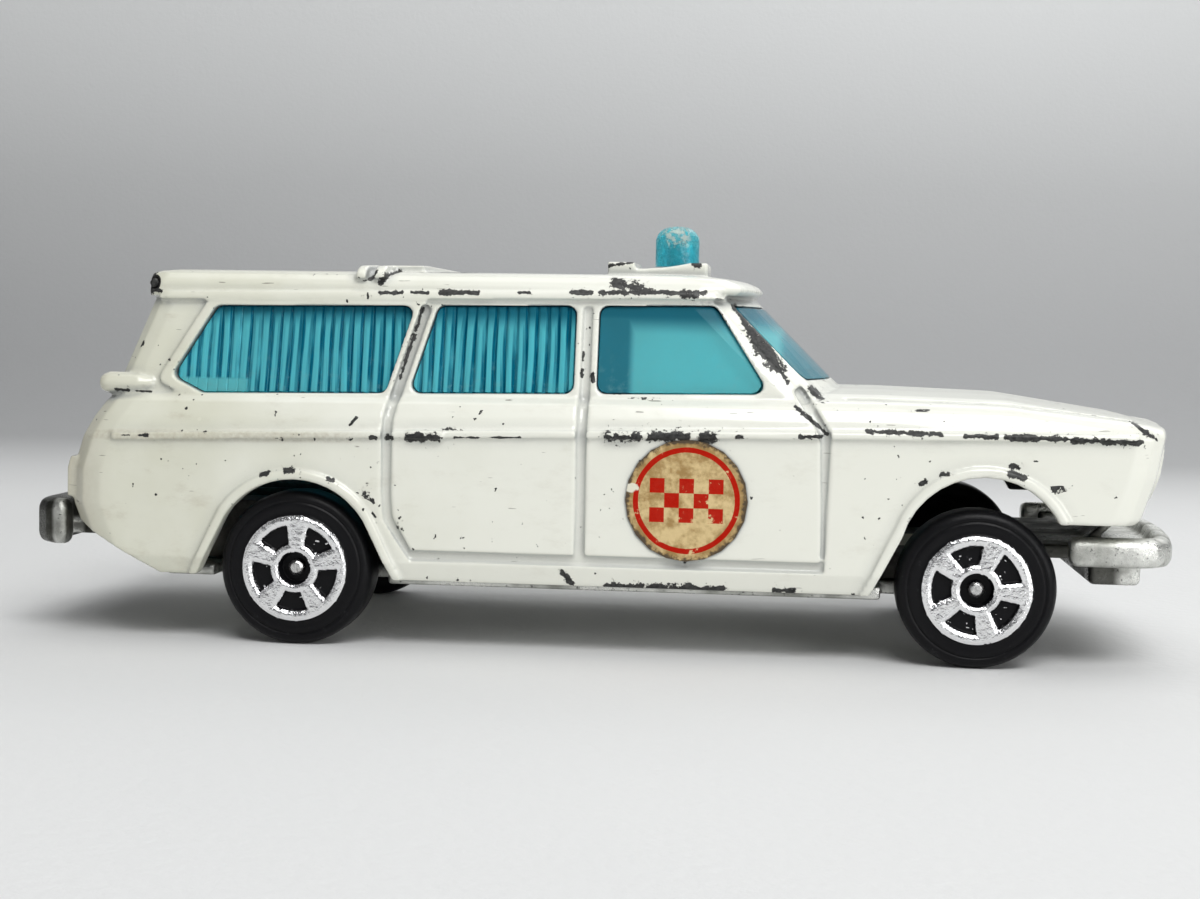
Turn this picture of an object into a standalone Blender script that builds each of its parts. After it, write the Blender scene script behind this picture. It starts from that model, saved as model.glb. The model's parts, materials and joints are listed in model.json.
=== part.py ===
"""A three inch die-cast toy ambulance on a station wagon body, as separate castings and mouldings.

Metres, +X to the nose, +Y to the car's left, +Z up, wheels standing on z = 0 midway between the axles.
"""

from math import asin, atan2, cos, hypot, pi, sin, sqrt, tan

import bmesh
import bpy
from mathutils import Matrix, Vector

# Wheels and axles
WHEELBASE = 0.0445
WHEEL_RADIUS = 0.00512
WHEEL_WIDTH = 0.0036
WHEEL_INSET = 0.0003
TYRE_SHOULDER = 0.00055
FOIL_RADIUS = 0.0035
RIM_BAND = 0.00062
HUB_RING_RADIUS = 0.0016
HUB_HOLE_RADIUS = 0.00108
HUB_HOLE_DEPTH = 0.0009
SPOKE_WIDTH_INNER = 0.00098
SPOKE_WIDTH_OUTER = 0.0014
SPOKE_RELIEF = 0.00038
FOIL_THICKNESS = 0.00005
FOIL_GAP = 0.00002
FOIL_MARGIN = 0.00004
WHEEL_BACK_RECESS = 0.0011
HUB_BOSS_RADIUS = 0.0013
AXLE_RADIUS = 0.000325
AXLE_HEAD_RADIUS = 0.00052
AXLE_HEAD_LENGTH = 0.00042
RUNNING_GAP = 0.00007
SPOKES = 5
WHEEL_PHASES = {("front", "right"): -0.05, ("front", "left"): 0.4,
                ("rear", "right"): 0.25, ("rear", "left"): 0.9}

# Lower body casting
BODY_HALF_WIDTH = 0.014
WALL = 0.001
SILL_Z = 0.00455
SILL_TUCK = 0.00045
TAIL_OVERHANG = 0.01585
TAIL_Z = 0.0102
TAIL_CURVE_RADIUS = 0.0077
TAIL_CORNER = 0.0026
TAIL_BOW = 0.0005
NOSE_OVERHANG = 0.01175
NOSE_LEAN = 0.19
NOSE_TUCK_DROP = 0.0035
NOSE_TUCK_RADIUS = 0.0042
NOSE_CORNER = 0.0021
NOSE_BOW = 0.0009
BELT_TAIL_Z = 0.0135
BELT_MID_Z = 0.01455
BELT_NOSE_Z = 0.01508
BONNET_Z = 0.01772
BONNET_FALL_START = 0.00725
BONNET_DROP = 0.0019
BONNET_FALL_POWER = 2.6
TAIL_KICK_X = 0.0092
TAIL_KICK_RISE = 0.00235
TAIL_KICK_RUN = 0.0042
NOSE_HEM_Z = 0.0095

# Cabin and roof
CABIN_FOOT_INSET = 0.0014
CABIN_FOOT_Z = 0.0163
SIDE_LEAN = 0.232
SCREEN_SETBACK = 0.0102
SCREEN_FOOT_Z = 0.0173
SCREEN_RAKE = 1.0
SCREEN_BOW = 0.0016
SCREEN_CORNER = 0.0026
CABIN_TAIL_OVERHANG = 0.01084
CABIN_TAIL_RAKE = 0.36
CABIN_CORNER = 0.0019
CABIN_SLOPE = 0.0165
GUTTER_Z = 0.0237
ROOF_Z = 0.02498
ROOF_SLOPE = 0.0045
ROOF_OVERHANG = 0.00012
ROOF_WALL = 0.0009
VISOR_REACH = 0.0014

# Windows, all measured on the side of the car
WINDOW_SILL_Z = 0.0171
WINDOW_SILL_SLOPE = 0.0187
WINDOW_HEAD_Z = 0.02287
WINDOW_HEAD_SLOPE = 0.0165
WINDOW_CORNER = 0.00055
B_PILLAR_BEHIND = 0.01535
B_PILLAR_WIDTH = 0.0015
C_PILLAR_HEAD_AHEAD = 0.0082
C_PILLAR_SILL_AHEAD = 0.00648
C_PILLAR_WIDTH = 0.00148
DOOR_GLASS_HEAD_SETBACK = 0.0014
DOOR_GLASS_SILL_SETBACK = 0.00345
QUARTER_HEAD_BEHIND = 0.00615
QUARTER_SILL_BEHIND = 0.0067
QUARTER_POINT_BEHIND = 0.0089
QUARTER_POINT_Z = 0.0182
SCREEN_PILLAR = 0.0019
SCREEN_OPENING_LEAN = 0.3
SCREEN_OPENING_FOOT = 0.0009

# Trim standing on the skin, and lines sunk into it
TRIM_PROUD = 0.00028
RIDGE_HEIGHT = 0.00045
RIDGE_TAIL_SETBACK = 0.0035
GUTTER_HEIGHT = 0.0004
LIP_WIDTH = 0.00068
ARCH_LIP_WIDTH = 0.0006
GROOVE_WIDTH = 0.00068
GROOVE_DEPTH = 0.00028
HANDLE_LENGTH = 0.0023
HANDLE_HEIGHT = 0.00055
HANDLE_SETBACK = 0.0015
HANDLE_PROUD = 0.00042
DOOR_SEAM_Z = 0.00625
DOOR_FRONT_SETBACK = 0.00985
REAR_DOOR_SEAM_AHEAD = 0.00615
BONNET_SEAM_INSET = 0.0027
FIN_LENGTH = 0.004
FIN_HEIGHT = 0.0015
FIN_WIDTH = 0.0018
FIN_BEHIND = 0.0118
FIN_Z = 0.01708
FIN_SIDES = 8
FIN_SECTION = ((-1.0, 0.45), (-0.93, 0.78), (-0.72, 1.0), (0.35, 0.97), (0.78, 0.7), (1.0, 0.3))
TAIL_LAMP_LOW_Z = 0.0094
TAIL_LAMP_HIGH_Z = 0.0121
TAIL_LAMP_INSET = 0.0011
TAIL_LAMP_WIDTH = 0.0023
TAIL_LAMP_PROUD = 0.00035
HEADLAMP_RADIUS = 0.0019
HEADLAMP_INSET = 0.0046
HEADLAMP_Z = 0.0126
HEADLAMP_PROUD = 0.00022

# Wheel arches
REAR_ARCH_RADIUS = 0.0055
REAR_ARCH_TOP_Z = 0.01105
REAR_ARCH_SPREAD = 0.0071
FRONT_ARCH_RADIUS = 0.0053
FRONT_ARCH_TOP_Z = 0.01238
FRONT_ARCH_AHEAD = 0.0003
FRONT_ARCH_SPREAD = 0.0076
ARCH_STEPS = 7

# Roof fittings
BEACON_BEHIND = 0.0102
BEACON_RADIUS = 0.00156
BEACON_HEIGHT = 0.0029
BEACON_DOME = 0.0011
BEACON_PEG_RADIUS = 0.0007
BEACON_PEG_HEIGHT = 0.0017
BEACON_SEAT_RISE = 0.00078
PLINTH_LENGTH = 0.007
PLINTH_HALF_WIDTH = 0.0031
PLINTH_RISE = 0.00105
PLINTH_SADDLE = 0.0006
PLINTH_AHEAD = 0.00232
PLINTH_REAR_BLOCK = 0.0019
PLINTH_FRONT_BLOCK = 0.0012
ROOF_RIB_AHEAD = 0.0037
ROOF_RIB_WIDTH = 0.0007
ROOF_RIB_PITCH = 0.00125
ROOF_RIB_PROUD = 0.00042
ROOF_STRIP_LENGTH = 0.0021
ROOF_STRIP_INSET = 0.0058
ROOF_RIB_FOOT = 0.00065

# Tailgate
TAILGATE_INSET = 0.0044
TAILGATE_FOOT_Z = 0.0097
SHUT_GAP = 0.0001
HINGE_BEHIND = 0.01065
HINGE_Z = 0.02385
HINGE_BAR_RADIUS = 0.0007
HINGE_PIN_RADIUS = 0.00035
HINGE_PIN_LENGTH = 0.0011
HEADER_DEPTH = 0.0005
TAILGATE_FRAME = 0.0018
TAILGATE_WINDOW_SILL_Z = 0.0175
TAILGATE_WINDOW_HEAD_DROP = 0.00095
TAILGATE_HANDLE_HALF_WIDTH = 0.002
TAILGATE_HANDLE_Z = 0.0129
TAILGATE_RAIL_HEIGHT = 0.0011

# Base casting
BASE_Z = 0.0041
BASE_THICKNESS = 0.0009
BASE_GAP = 0.00012
BASE_WHEEL_GAP = 0.0008
BASE_WHEEL_ROOM = 0.0009
BASE_TAIL_RAMP_BEHIND = 0.00925
BASE_TAIL_RAMP = 0.0051
BASE_TONGUE_Z = 0.0065
BASE_TONGUE_NOTCH_Z = 0.00755
BASE_REAR_WING_BEHIND = 0.0112
BASE_REAR_WING_INSET = 0.0024
APRON_Z = 0.00685
APRON_RAMP_AHEAD = 0.00145
APRON_RAMP = 0.0026
APRON_INSET = 0.0024
APRON_STEP = 0.0001
APRON_UNDER_BUMPER = 0.7
APRON_BOW_SHARE = 1.5
LUG_INSET = 0.0027
LUG_WIDTH = 0.0014
LUG_HALF_LENGTH = 0.0011
BUMPER_HEIGHT = 0.0023
BUMPER_DEPTH = 0.0014
BUMPER_Z = 0.00788
BUMPER_REACH = 0.0019
BUMPER_BOW = 0.001
BUMPER_CORNER = 0.002
BUMPER_END_SHARE = 0.72
BUMPER_EDGE_SHARE = 0.38
BUMPER_EDGE_STEPS = 2
BUMPER_BOW_SHARES = (0.0, 0.35, 0.7)
BUMPER_SLOPE = 0.3
BUMPER_END_AHEAD = 0.0058
BUMPER_INSET = 0.00075
REAR_BUMPER_HEIGHT = 0.0031
REAR_BUMPER_DEPTH = 0.0017
REAR_BUMPER_Z = 0.0076
REAR_BUMPER_REACH = 0.0029
REAR_BUMPER_CORNER = 0.0016
REAR_BUMPER_INSET = 0.00135
REAR_BUMPER_END = 0.0002
VALANCE_INSET = 0.0028
VALANCE_SETBACK = 0.0045
VALANCE_LENGTH = 0.0033
VALANCE_DROP = 0.00145
GRILLE_LAMP_GAP = 0.0019
GRILLE_HEAD_Z = 0.0146
GRILLE_SLOTS = 7
GRILLE_BAR_WIDTH = 0.0005
GRILLE_SUNK = 0.00015
GRILLE_THICKNESS = 0.0008
GRILLE_RELIEF = 0.0004
GRILLE_FRAME = 0.0006

# Rivet posts
POST_RADIUS = 0.0014
SPIGOT_RADIUS = 0.0008
RIVET_HEAD_RADIUS = 0.0013
RIVET_HEAD_HEIGHT = 0.00035
FRONT_POST_BEHIND = 0.00595
REAR_POST_BEHIND = 0.0136
REAR_POST_SEAT_Z = 0.00747
REAR_POST_TOP_Z = 0.0093
REAR_RIVET_Z = 0.0067
POST_BOSS = 0.0005
REAR_BOSS_Z = 0.0061
RIVET_GAP = 0.00005

# Glazing
GLASS_GAP = 0.00009
GLASS_THICKNESS = 0.0007
GLASS_HEM_Z = 0.0159
GLASS_SUNK = 0.00028
PLEAT_PITCH = 0.00069
PLEAT_DEPTH = 0.00016

# Floor tray with its stretcher
TRAY_THICKNESS = 0.0007
TRAY_INSET = 0.0005
TRAY_FLOOR_Z = 0.0061
TRAY_DECK_Z = 0.0084
TRAY_STEP_BEHIND = 0.0022
TRAY_FRONT_AHEAD = 0.0014
TRAY_DECK_BEHIND = 0.01135
TRAY_SKIRT_BEHIND = 0.00895
TRAY_WHEEL_ROOM = 0.00985
TRAY_CARD_END_INSET = 0.0029
TRAY_CARD_INSET = 0.0033
TRAY_CARD_THICKNESS = 0.0006
STRETCHER_FOOT_INSET = 0.0022
STRETCHER_INSET = 0.0046
STRETCHER_HEIGHT = 0.0011
STRETCHER_RAIL = 0.0005
PILLOW_LENGTH = 0.0042
PILLOW_INSET = 0.00084
PILLOW_RISE = 0.0007

# Door labels
LABEL_RADIUS = 0.00395
LABEL_BEHIND = 0.00845
LABEL_Z = 0.01038
LABEL_THICKNESS = 0.00009
LABEL_GAP = 0.00002

# Places that follow from the sizes above
FRONT_AXLE_X = WHEELBASE / 2
REAR_AXLE_X = -WHEELBASE / 2
TAIL_X = REAR_AXLE_X - TAIL_OVERHANG
NOSE_X = FRONT_AXLE_X + NOSE_OVERHANG
WHEEL_FACE_Y = BODY_HALF_WIDTH - WHEEL_INSET
CABIN_FOOT_HALF_WIDTH = BODY_HALF_WIDTH - CABIN_FOOT_INSET
SCREEN_OPENING_HALF_WIDTH = CABIN_FOOT_HALF_WIDTH - SCREEN_PILLAR
BONNET_SEAM_HALF_WIDTH = BODY_HALF_WIDTH - BONNET_SEAM_INSET
TAIL_LAMP_OUTER_Y = BODY_HALF_WIDTH - TAIL_LAMP_INSET
TAIL_LAMP_INNER_Y = TAIL_LAMP_OUTER_Y - TAIL_LAMP_WIDTH
HEADLAMP_HALF_TRACK = BODY_HALF_WIDTH - HEADLAMP_INSET
GRILLE_HALF_WIDTH = HEADLAMP_HALF_TRACK - HEADLAMP_RADIUS - GRILLE_LAMP_GAP
ROOF_STRIP_HALF_WIDTH = BODY_HALF_WIDTH - ROOF_STRIP_INSET
TAILGATE_HALF_WIDTH = BODY_HALF_WIDTH - TAILGATE_INSET
TAILGATE_WINDOW_HALF_WIDTH = TAILGATE_HALF_WIDTH - TAILGATE_FRAME
BASE_WAIST_HALF_WIDTH = WHEEL_FACE_Y - WHEEL_WIDTH - BASE_WHEEL_GAP
BASE_REAR_WING_HALF_WIDTH = BODY_HALF_WIDTH - BASE_REAR_WING_INSET
APRON_HALF_WIDTH = BODY_HALF_WIDTH - APRON_INSET
LUG_OUTER_Y = BASE_WAIST_HALF_WIDTH - LUG_INSET
LUG_INNER_Y = LUG_OUTER_Y - LUG_WIDTH
BUMPER_HALF_WIDTH = BODY_HALF_WIDTH - BUMPER_INSET
REAR_BUMPER_HALF_WIDTH = BODY_HALF_WIDTH - REAR_BUMPER_INSET
VALANCE_HALF_WIDTH = BODY_HALF_WIDTH - VALANCE_INSET
TRAY_HALF_WIDTH = BASE_WAIST_HALF_WIDTH - TRAY_INSET
TRAY_CARD_HALF_WIDTH = BODY_HALF_WIDTH - TRAY_CARD_INSET
STRETCHER_HALF_WIDTH = TRAY_HALF_WIDTH - STRETCHER_INSET
SCREEN_FOOT_X = FRONT_AXLE_X - SCREEN_SETBACK
CABIN_TAIL_X = REAR_AXLE_X - CABIN_TAIL_OVERHANG
HINGE_X = REAR_AXLE_X - HINGE_BEHIND
B_PILLAR_X = SCREEN_FOOT_X - B_PILLAR_BEHIND
BEACON_X = SCREEN_FOOT_X - BEACON_BEHIND
LABEL_X = SCREEN_FOOT_X - LABEL_BEHIND
ROOF_RIB_X = REAR_AXLE_X + ROOF_RIB_AHEAD
TRAY_STEP_X = B_PILLAR_X - TRAY_STEP_BEHIND
TRAY_WIDE_HALF_LENGTH = WHEELBASE / 2 - TRAY_WHEEL_ROOM
TRAY_CARD_HALF_LENGTH = TRAY_WIDE_HALF_LENGTH - TRAY_CARD_END_INSET
BASE_TOP_Z = BASE_Z + BASE_THICKNESS
FRONT_POST_X = FRONT_AXLE_X - FRONT_POST_BEHIND
REAR_POST_X = REAR_AXLE_X - REAR_POST_BEHIND
ROOF_END_X = HINGE_X + HINGE_BAR_RADIUS + SHUT_GAP
ROOM = 2 * BODY_HALF_WIDTH
REAR_REACH = REAR_BUMPER_REACH - TAIL_X
FRONT_REACH = NOSE_X + BUMPER_REACH

PARTS = "toy_ambulance"
RING_SEGMENTS = 20
POST_SEGMENTS = 16
PIN_SEGMENTS = 12
SMOOTH_ANGLE = 0.6
WELD = 1e-6
FLAT_ANGLE = 0.002


# Scene and materials

def clear_scene():
    for thing in list(bpy.data.objects):
        bpy.data.objects.remove(thing, do_unlink=True)
    collection = bpy.data.collections.new(PARTS)
    bpy.context.scene.collection.children.link(collection)
    return collection


def material(name, colour, roughness, metallic=0.0, transmission=0.0):
    made = bpy.data.materials.new(name)
    made.use_nodes = True
    shader = made.node_tree.nodes["Principled BSDF"]
    shader.inputs["Base Color"].default_value = (*colour, 1.0)
    shader.inputs["Roughness"].default_value = roughness
    shader.inputs["Metallic"].default_value = metallic
    shader.inputs["Transmission Weight"].default_value = transmission
    made.diffuse_color = (*colour, 1.0)
    return made


# Mesh helpers

def add_object(name, bm):
    """Closes off a bmesh as an object in the parts collection, with its faces pointing out."""
    bmesh.ops.recalc_face_normals(bm, faces=bm.faces)
    mesh = bpy.data.meshes.new(name)
    bm.to_mesh(mesh)
    bm.free()
    made = bpy.data.objects.new(name, mesh)
    bpy.data.collections[PARTS].objects.link(made)
    return made


def combine(target, other, operation):
    """Joins, cuts or intersects target with other, which is used up."""
    modifier = target.modifiers.new("Boolean", "BOOLEAN")
    modifier.operation = operation
    modifier.solver = "EXACT"
    modifier.object = other
    graph = bpy.context.evaluated_depsgraph_get()
    result = bpy.data.meshes.new_from_object(target.evaluated_get(graph))
    target.modifiers.clear()
    worn = target.data
    target.data = result
    bpy.data.meshes.remove(worn)
    bpy.data.meshes.remove(other.data)
    bm = bmesh.new()
    bm.from_mesh(result)
    bmesh.ops.remove_doubles(bm, verts=bm.verts, dist=WELD)
    bmesh.ops.dissolve_degenerate(bm, edges=bm.edges, dist=WELD)
    loose = [edge for edge in bm.edges if not edge.link_faces]
    bmesh.ops.delete(bm, geom=loose, context="EDGES")
    bm.to_mesh(result)
    bm.free()
    return target


def union(target, *others):
    for other in others:
        combine(target, other, "UNION")
    return target


def cut(target, *others):
    for other in others:
        combine(target, other, "DIFFERENCE")
    return target


def common(target, other):
    return combine(target, other, "INTERSECT")


def finish(made, name, finish_material, smooth_angle=None):
    """Names a piece, gives it its finish, and shades its round stretches smooth."""
    made.name = name
    made.data.name = name
    bm = bmesh.new()
    bm.from_mesh(made.data)
    bmesh.ops.dissolve_limit(bm, angle_limit=FLAT_ANGLE, verts=bm.verts, edges=bm.edges)
    bm.to_mesh(made.data)
    bm.free()
    made.data.materials.clear()
    made.data.materials.append(finish_material)
    if smooth_angle:
        made.data.shade_smooth()
        made.data.set_sharp_from_angle(angle=smooth_angle)
    return made


def put_origin(made, point):
    """Moves a piece's origin onto its joint's axis and leaves its shape where it is."""
    made.data.transform(Matrix.Translation(-Vector(point)))
    made.location = point


def box(low, high):
    bm = bmesh.new()
    size = [h - l for l, h in zip(low, high)]
    centre = [(h + l) / 2 for l, h in zip(low, high)]
    place = Matrix.Translation(centre) @ Matrix.Diagonal((*size, 1.0))
    bmesh.ops.create_cube(bm, size=1.0, matrix=place)
    return add_object("box", bm)


def soft_box(low, high, radius):
    """A box with its edges rounded off."""
    made = box(low, high)
    bm = bmesh.new()
    bm.from_mesh(made.data)
    bmesh.ops.bevel(bm, geom=bm.edges, offset=radius, segments=1, affect="EDGES", profile=0.5)
    bm.to_mesh(made.data)
    bm.free()
    return made


def rod(start, end, radius, segments=RING_SEGMENTS):
    """A cylinder from one point to another."""
    start, end = Vector(start), Vector(end)
    along = end - start
    bm = bmesh.new()
    place = Matrix.Translation((start + end) / 2) @ along.to_track_quat("Z", "Y").to_matrix().to_4x4()
    bmesh.ops.create_cone(bm, cap_ends=True, segments=segments, radius1=radius, radius2=radius,
                          depth=along.length, matrix=place)
    return add_object("rod", bm)


def prism(outline, low, high, axis="Y"):
    """A flat outline pushed from low to high along an axis; along Y the outline is (x, z)."""
    place = {
        "X": lambda a, b, depth: (depth, a, b),
        "Y": lambda a, b, depth: (a, depth, b),
        "Z": lambda a, b, depth: (a, b, depth),
    }[axis]
    bm = bmesh.new()
    rings = [[bm.verts.new(place(a, b, depth)) for a, b in outline] for depth in (low, high)]
    close_loft(bm, rings)
    return add_object("prism", bm)


def close_loft(bm, rings, capped=(True, True)):
    """Joins rings of equal count with quads and caps the chosen ends."""
    for near, far in zip(rings, rings[1:]):
        for i, corner in enumerate(near):
            bm.faces.new((near[i - 1], corner, far[i], far[i - 1]))
    if capped[0]:
        bm.faces.new(list(reversed(rings[0])))
    if capped[1]:
        bm.faces.new(rings[-1])


def split_quads(bm):
    """Splits four-sided faces, which a loft can leave warped, into flat ones."""
    bmesh.ops.triangulate(bm, faces=[face for face in bm.faces if len(face.verts) == 4])


def loft(sections):
    bm = bmesh.new()
    close_loft(bm, [[bm.verts.new(point) for point in section] for section in sections])
    split_quads(bm)
    return add_object("loft", bm)


def turned(profile, name, segments=RING_SEGMENTS):
    """A closed profile of (radius, height) points turned about Z."""
    bm = bmesh.new()
    verts = [bm.verts.new((radius, 0.0, height)) for radius, height in profile]
    for a, b in zip(verts, verts[1:]):
        bm.edges.new((a, b))
    mesh = bpy.data.meshes.new(name)
    bm.to_mesh(mesh)
    bm.free()
    made = bpy.data.objects.new(name, mesh)
    bpy.data.collections[PARTS].objects.link(made)
    screw = made.modifiers.new("Turn", "SCREW")
    screw.steps = segments
    screw.render_steps = segments
    screw.use_merge_vertices = True
    screw.merge_threshold = 1e-7
    graph = bpy.context.evaluated_depsgraph_get()
    result = bpy.data.meshes.new_from_object(made.evaluated_get(graph))
    made.modifiers.clear()
    made.data = result
    bm = bmesh.new()
    bm.from_mesh(result)
    bmesh.ops.recalc_face_normals(bm, faces=bm.faces)
    bm.to_mesh(result)
    bm.free()
    return made


def rounded(outline, radius, steps=3):
    """Replaces each corner of a closed outline with an arc of the given radius."""
    points = []
    for i, (x, y) in enumerate(outline):
        corner = Vector((x, y))
        back = (Vector(outline[i - 1]) - corner).normalized()
        ahead = (Vector(outline[(i + 1) % len(outline)]) - corner).normalized()
        half = back.angle(ahead) / 2
        run = radius / tan(half)
        centre = corner + (back + ahead).normalized() * (radius / sin(half))
        first = corner + back * run - centre
        sweep = first.angle_signed(corner + ahead * run - centre)
        for step in range(steps + 1):
            turn = -sweep * step / steps
            spoke = Vector((first.x * cos(turn) - first.y * sin(turn),
                            first.x * sin(turn) + first.y * cos(turn)))
            points.append(tuple(centre + spoke))
    return points


def grown(outline, distance):
    """Moves every edge of a closed outline out by a distance, or in where it is negative."""
    turn = sum(a[0] * b[1] - b[0] * a[1] for a, b in zip(outline, outline[1:] + outline[:1]))
    side = 1.0 if turn > 0 else -1.0
    points = []
    for i, point in enumerate(outline):
        before, after = Vector(outline[i - 1]), Vector(outline[(i + 1) % len(outline)])
        corner = Vector(point)
        first = (corner - before).normalized()
        second = (after - corner).normalized()
        normal = Vector((first.y, -first.x)) + Vector((second.y, -second.x))
        reach = distance * side * 2 / normal.length_squared
        points.append(tuple(corner + normal * reach))
    return points


# Lines of the body, each a height or a place along the car

def belt_z(x):
    """Height of the belt ridge: a parabola through its tail, middle and nose heights."""
    a, b = (BELT_TAIL_Z - BELT_MID_Z) / TAIL_X, (BELT_NOSE_Z - BELT_MID_Z) / NOSE_X
    bend = (b - a) / (NOSE_X - TAIL_X)
    return BELT_MID_Z + (a - bend * TAIL_X) * x + bend * x * x


def bonnet_z(x):
    """Height of the top of the lower body: level to the bonnet, then falling to the nose."""
    start = FRONT_AXLE_X - BONNET_FALL_START
    run = max(0.0, (x - start) / (NOSE_X - start))
    return BONNET_Z - BONNET_DROP * run ** BONNET_FALL_POWER


def tail_x(z):
    return TAIL_X + (z - TAIL_Z) ** 2 / (2 * TAIL_CURVE_RADIUS)


def nose_x(z):
    """The nose leans back from the belt down, and tucks under with a round chin."""
    drop = BELT_NOSE_Z - z
    chin = max(0.0, drop - NOSE_TUCK_DROP)
    return NOSE_X - NOSE_LEAN * drop - chin ** 2 / (2 * NOSE_TUCK_RADIUS)


def screen_x(z):
    """The windscreen's line on the car's side."""
    return SCREEN_FOOT_X - SCREEN_RAKE * (z - SCREEN_FOOT_Z)


def cabin_tail_x(z):
    return CABIN_TAIL_X - CABIN_TAIL_RAKE * (GUTTER_Z - z)


def cabin_half_width(z):
    return CABIN_FOOT_HALF_WIDTH - SIDE_LEAN * (z - CABIN_FOOT_Z)


def window_sill(x):
    return WINDOW_SILL_Z + WINDOW_SILL_SLOPE * x


def window_head(x):
    return WINDOW_HEAD_Z + WINDOW_HEAD_SLOPE * x


# Main volumes; grow pushes a volume's whole skin out, or in where it is negative

BELT_TUCK = 0.13
SECTION_BELOW_BELT = ((1.0, 0.0), (0.2, 0.12), (0.0, 0.5), (0.04, 0.76), (BELT_TUCK, 1.0))
SECTION_ABOVE_BELT = ((0.022, 0.32), (0.05, 0.57), (0.1, 0.71), (0.3, 0.87), (0.62, 0.957))
FLOOR_COLUMN_SHARE = 0.55
BODY_STATIONS = 8
CORNER_STEPS = 3
SCREEN_COLUMNS = (0.62, 0.3, 0.0)
ROOF_SECTION = ((-0.12, 0.0, -0.55, 0.0), (0.1, -0.04, -0.06, 0.0), (0.28, 0.0, 0.0, 0.0),
                (0.55, 0.3, -0.42, 0.0), (0.78, 0.75, -1.35, 0.06), (0.93, 1.6, -2.7, 0.3),
                (1.0, 3.2, -4.6, 1.2), (1.06, 6.5, -8.5, 5.0))
CANT_ROUND = 0.62
ROOF_TAIL_ROUND = 0.6
ROOF_CORNER_SHARE = 0.7
VISOR_BOW_SHARE = 0.6


def lower_section(x_at, half_width, x_nominal, grow, floor_z, step):
    """One cross-section of the lower body, from the middle of the floor up to the crown."""
    belt, top = belt_z(x_nominal), bonnet_z(x_nominal)
    points = [(x_at(floor_z), 0.0, floor_z)]
    outer = half_width - SILL_TUCK + grow
    points.append((x_at(floor_z), FLOOR_COLUMN_SHARE * outer, floor_z))
    for tuck, share in SECTION_BELOW_BELT[::step]:
        z = floor_z if share == 0.0 else SILL_Z + share * (belt - SILL_Z)
        points.append((x_at(z), half_width + grow - tuck * SILL_TUCK, z))
    for inset, share in SECTION_ABOVE_BELT[step - 1::step]:
        z = belt + share * (top - belt) + grow * share
        points.append((x_at(z), (half_width + grow) * (1 - inset) - SILL_TUCK * BELT_TUCK, z))
    points.append((x_at(top), 0.0, top + grow))
    return points


def lower_body(grow=0.0, floor_z=SILL_Z, step=1):
    """Wings, doors and bonnet as one closed volume, lofted from tail to nose; step leaves points out."""
    tail_end, nose_end = -grow, grow
    arcs = [i * pi / 2 / CORNER_STEPS for i in range(0, CORNER_STEPS + 1, 2 * step - 1)]
    span_start = tail_x(BELT_MID_Z) + TAIL_CORNER
    span_end = nose_x(BELT_MID_Z) - NOSE_CORNER
    stations = []
    for turn in reversed(arcs):
        run, tuck = TAIL_CORNER * (1 - sin(turn)), TAIL_CORNER * (1 - cos(turn))
        stations.append((lambda z, run=run: tail_x(z) + tail_end + run, tuck,
                         span_start - TAIL_CORNER + run))
    middle = BODY_STATIONS // step
    for i in range(1, middle):
        share = i / middle
        stations.append((
            lambda z, share=share:
                (tail_x(z) + TAIL_CORNER) * (1 - share) + (nose_x(z) - NOSE_CORNER) * share,
            0.0, span_start * (1 - share) + span_end * share))
    for turn in arcs:
        run, tuck = NOSE_CORNER * (1 - sin(turn)), NOSE_CORNER * (1 - cos(turn))
        stations.append((lambda z, run=run: nose_x(z) + nose_end - run, tuck,
                         span_end + NOSE_CORNER - run))
    bm = bmesh.new()
    rings = []
    for x_at, tuck, x_nominal in stations:
        half = lower_section(x_at, BODY_HALF_WIDTH - tuck, x_nominal, grow, floor_z, step)
        right = [bm.verts.new((x, -y, z)) for x, y, z in half]
        left = [bm.verts.new(point) for point in half[1:-1]]
        rings.append(right + left[::-1])
    close_loft(bm, rings, capped=(False, False))
    crown_index = len(half) - 1
    for ring, bow in ((rings[0], -TAIL_BOW), (rings[-1], NOSE_BOW)):
        bowed_cap(bm, ring, crown_index, bow)
    split_quads(bm)
    return add_object("lower_body", bm)


def bowed_cap(bm, ring, crown_index, bow):
    """Closes an end of the lower body with level rows that bulge along X in the middle."""
    count = len(ring)
    rows = []
    for i in range(2, crown_index):
        right, left = ring[i], ring[count - i]
        if i == 2:
            rows.append([right, ring[1], ring[0], ring[count - 1], left])
            continue
        row = [right]
        for share in (-FLOOR_COLUMN_SHARE, 0.0, FLOOR_COLUMN_SHARE):
            bulge = bow * (1 - share * share)
            row.append(bm.verts.new((right.co.x + bulge, -share * right.co.y, right.co.z)))
        rows.append(row + [left])
    for low, high in zip(rows, rows[1:]):
        for j in range(len(low) - 1):
            bm.faces.new((low[j], low[j + 1], high[j + 1], high[j]))
    for j in range(len(rows[-1]) - 1):
        bm.faces.new((rows[-1][j], rows[-1][j + 1], ring[crown_index]))


def plan_ring(x_rear, x_front, half_width, z, rise, rear_corner, front_corner, bow):
    """A level outline with rounded corners and a bowed front, as points round the car."""
    half = [(x_rear, 0.0)]
    turns = [i * pi / 2 / CORNER_STEPS for i in range(CORNER_STEPS + 1)]
    for turn in turns:
        half.append((x_rear + rear_corner * (1 - cos(turn)),
                     half_width - rear_corner * (1 - sin(turn))))
    flat = half_width - front_corner
    for turn in turns:
        half.append((x_front - front_corner * (1 - sin(turn)),
                     half_width - front_corner * (1 - cos(turn))))
    for share in SCREEN_COLUMNS:
        half.append((x_front + bow * (1 - share * share), flat * share))
    ring = [(x, -y) for x, y in half] + [(x, y) for x, y in half[-2:0:-1]]
    return [(x, y, z + rise * x) for x, y in ring]


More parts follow.
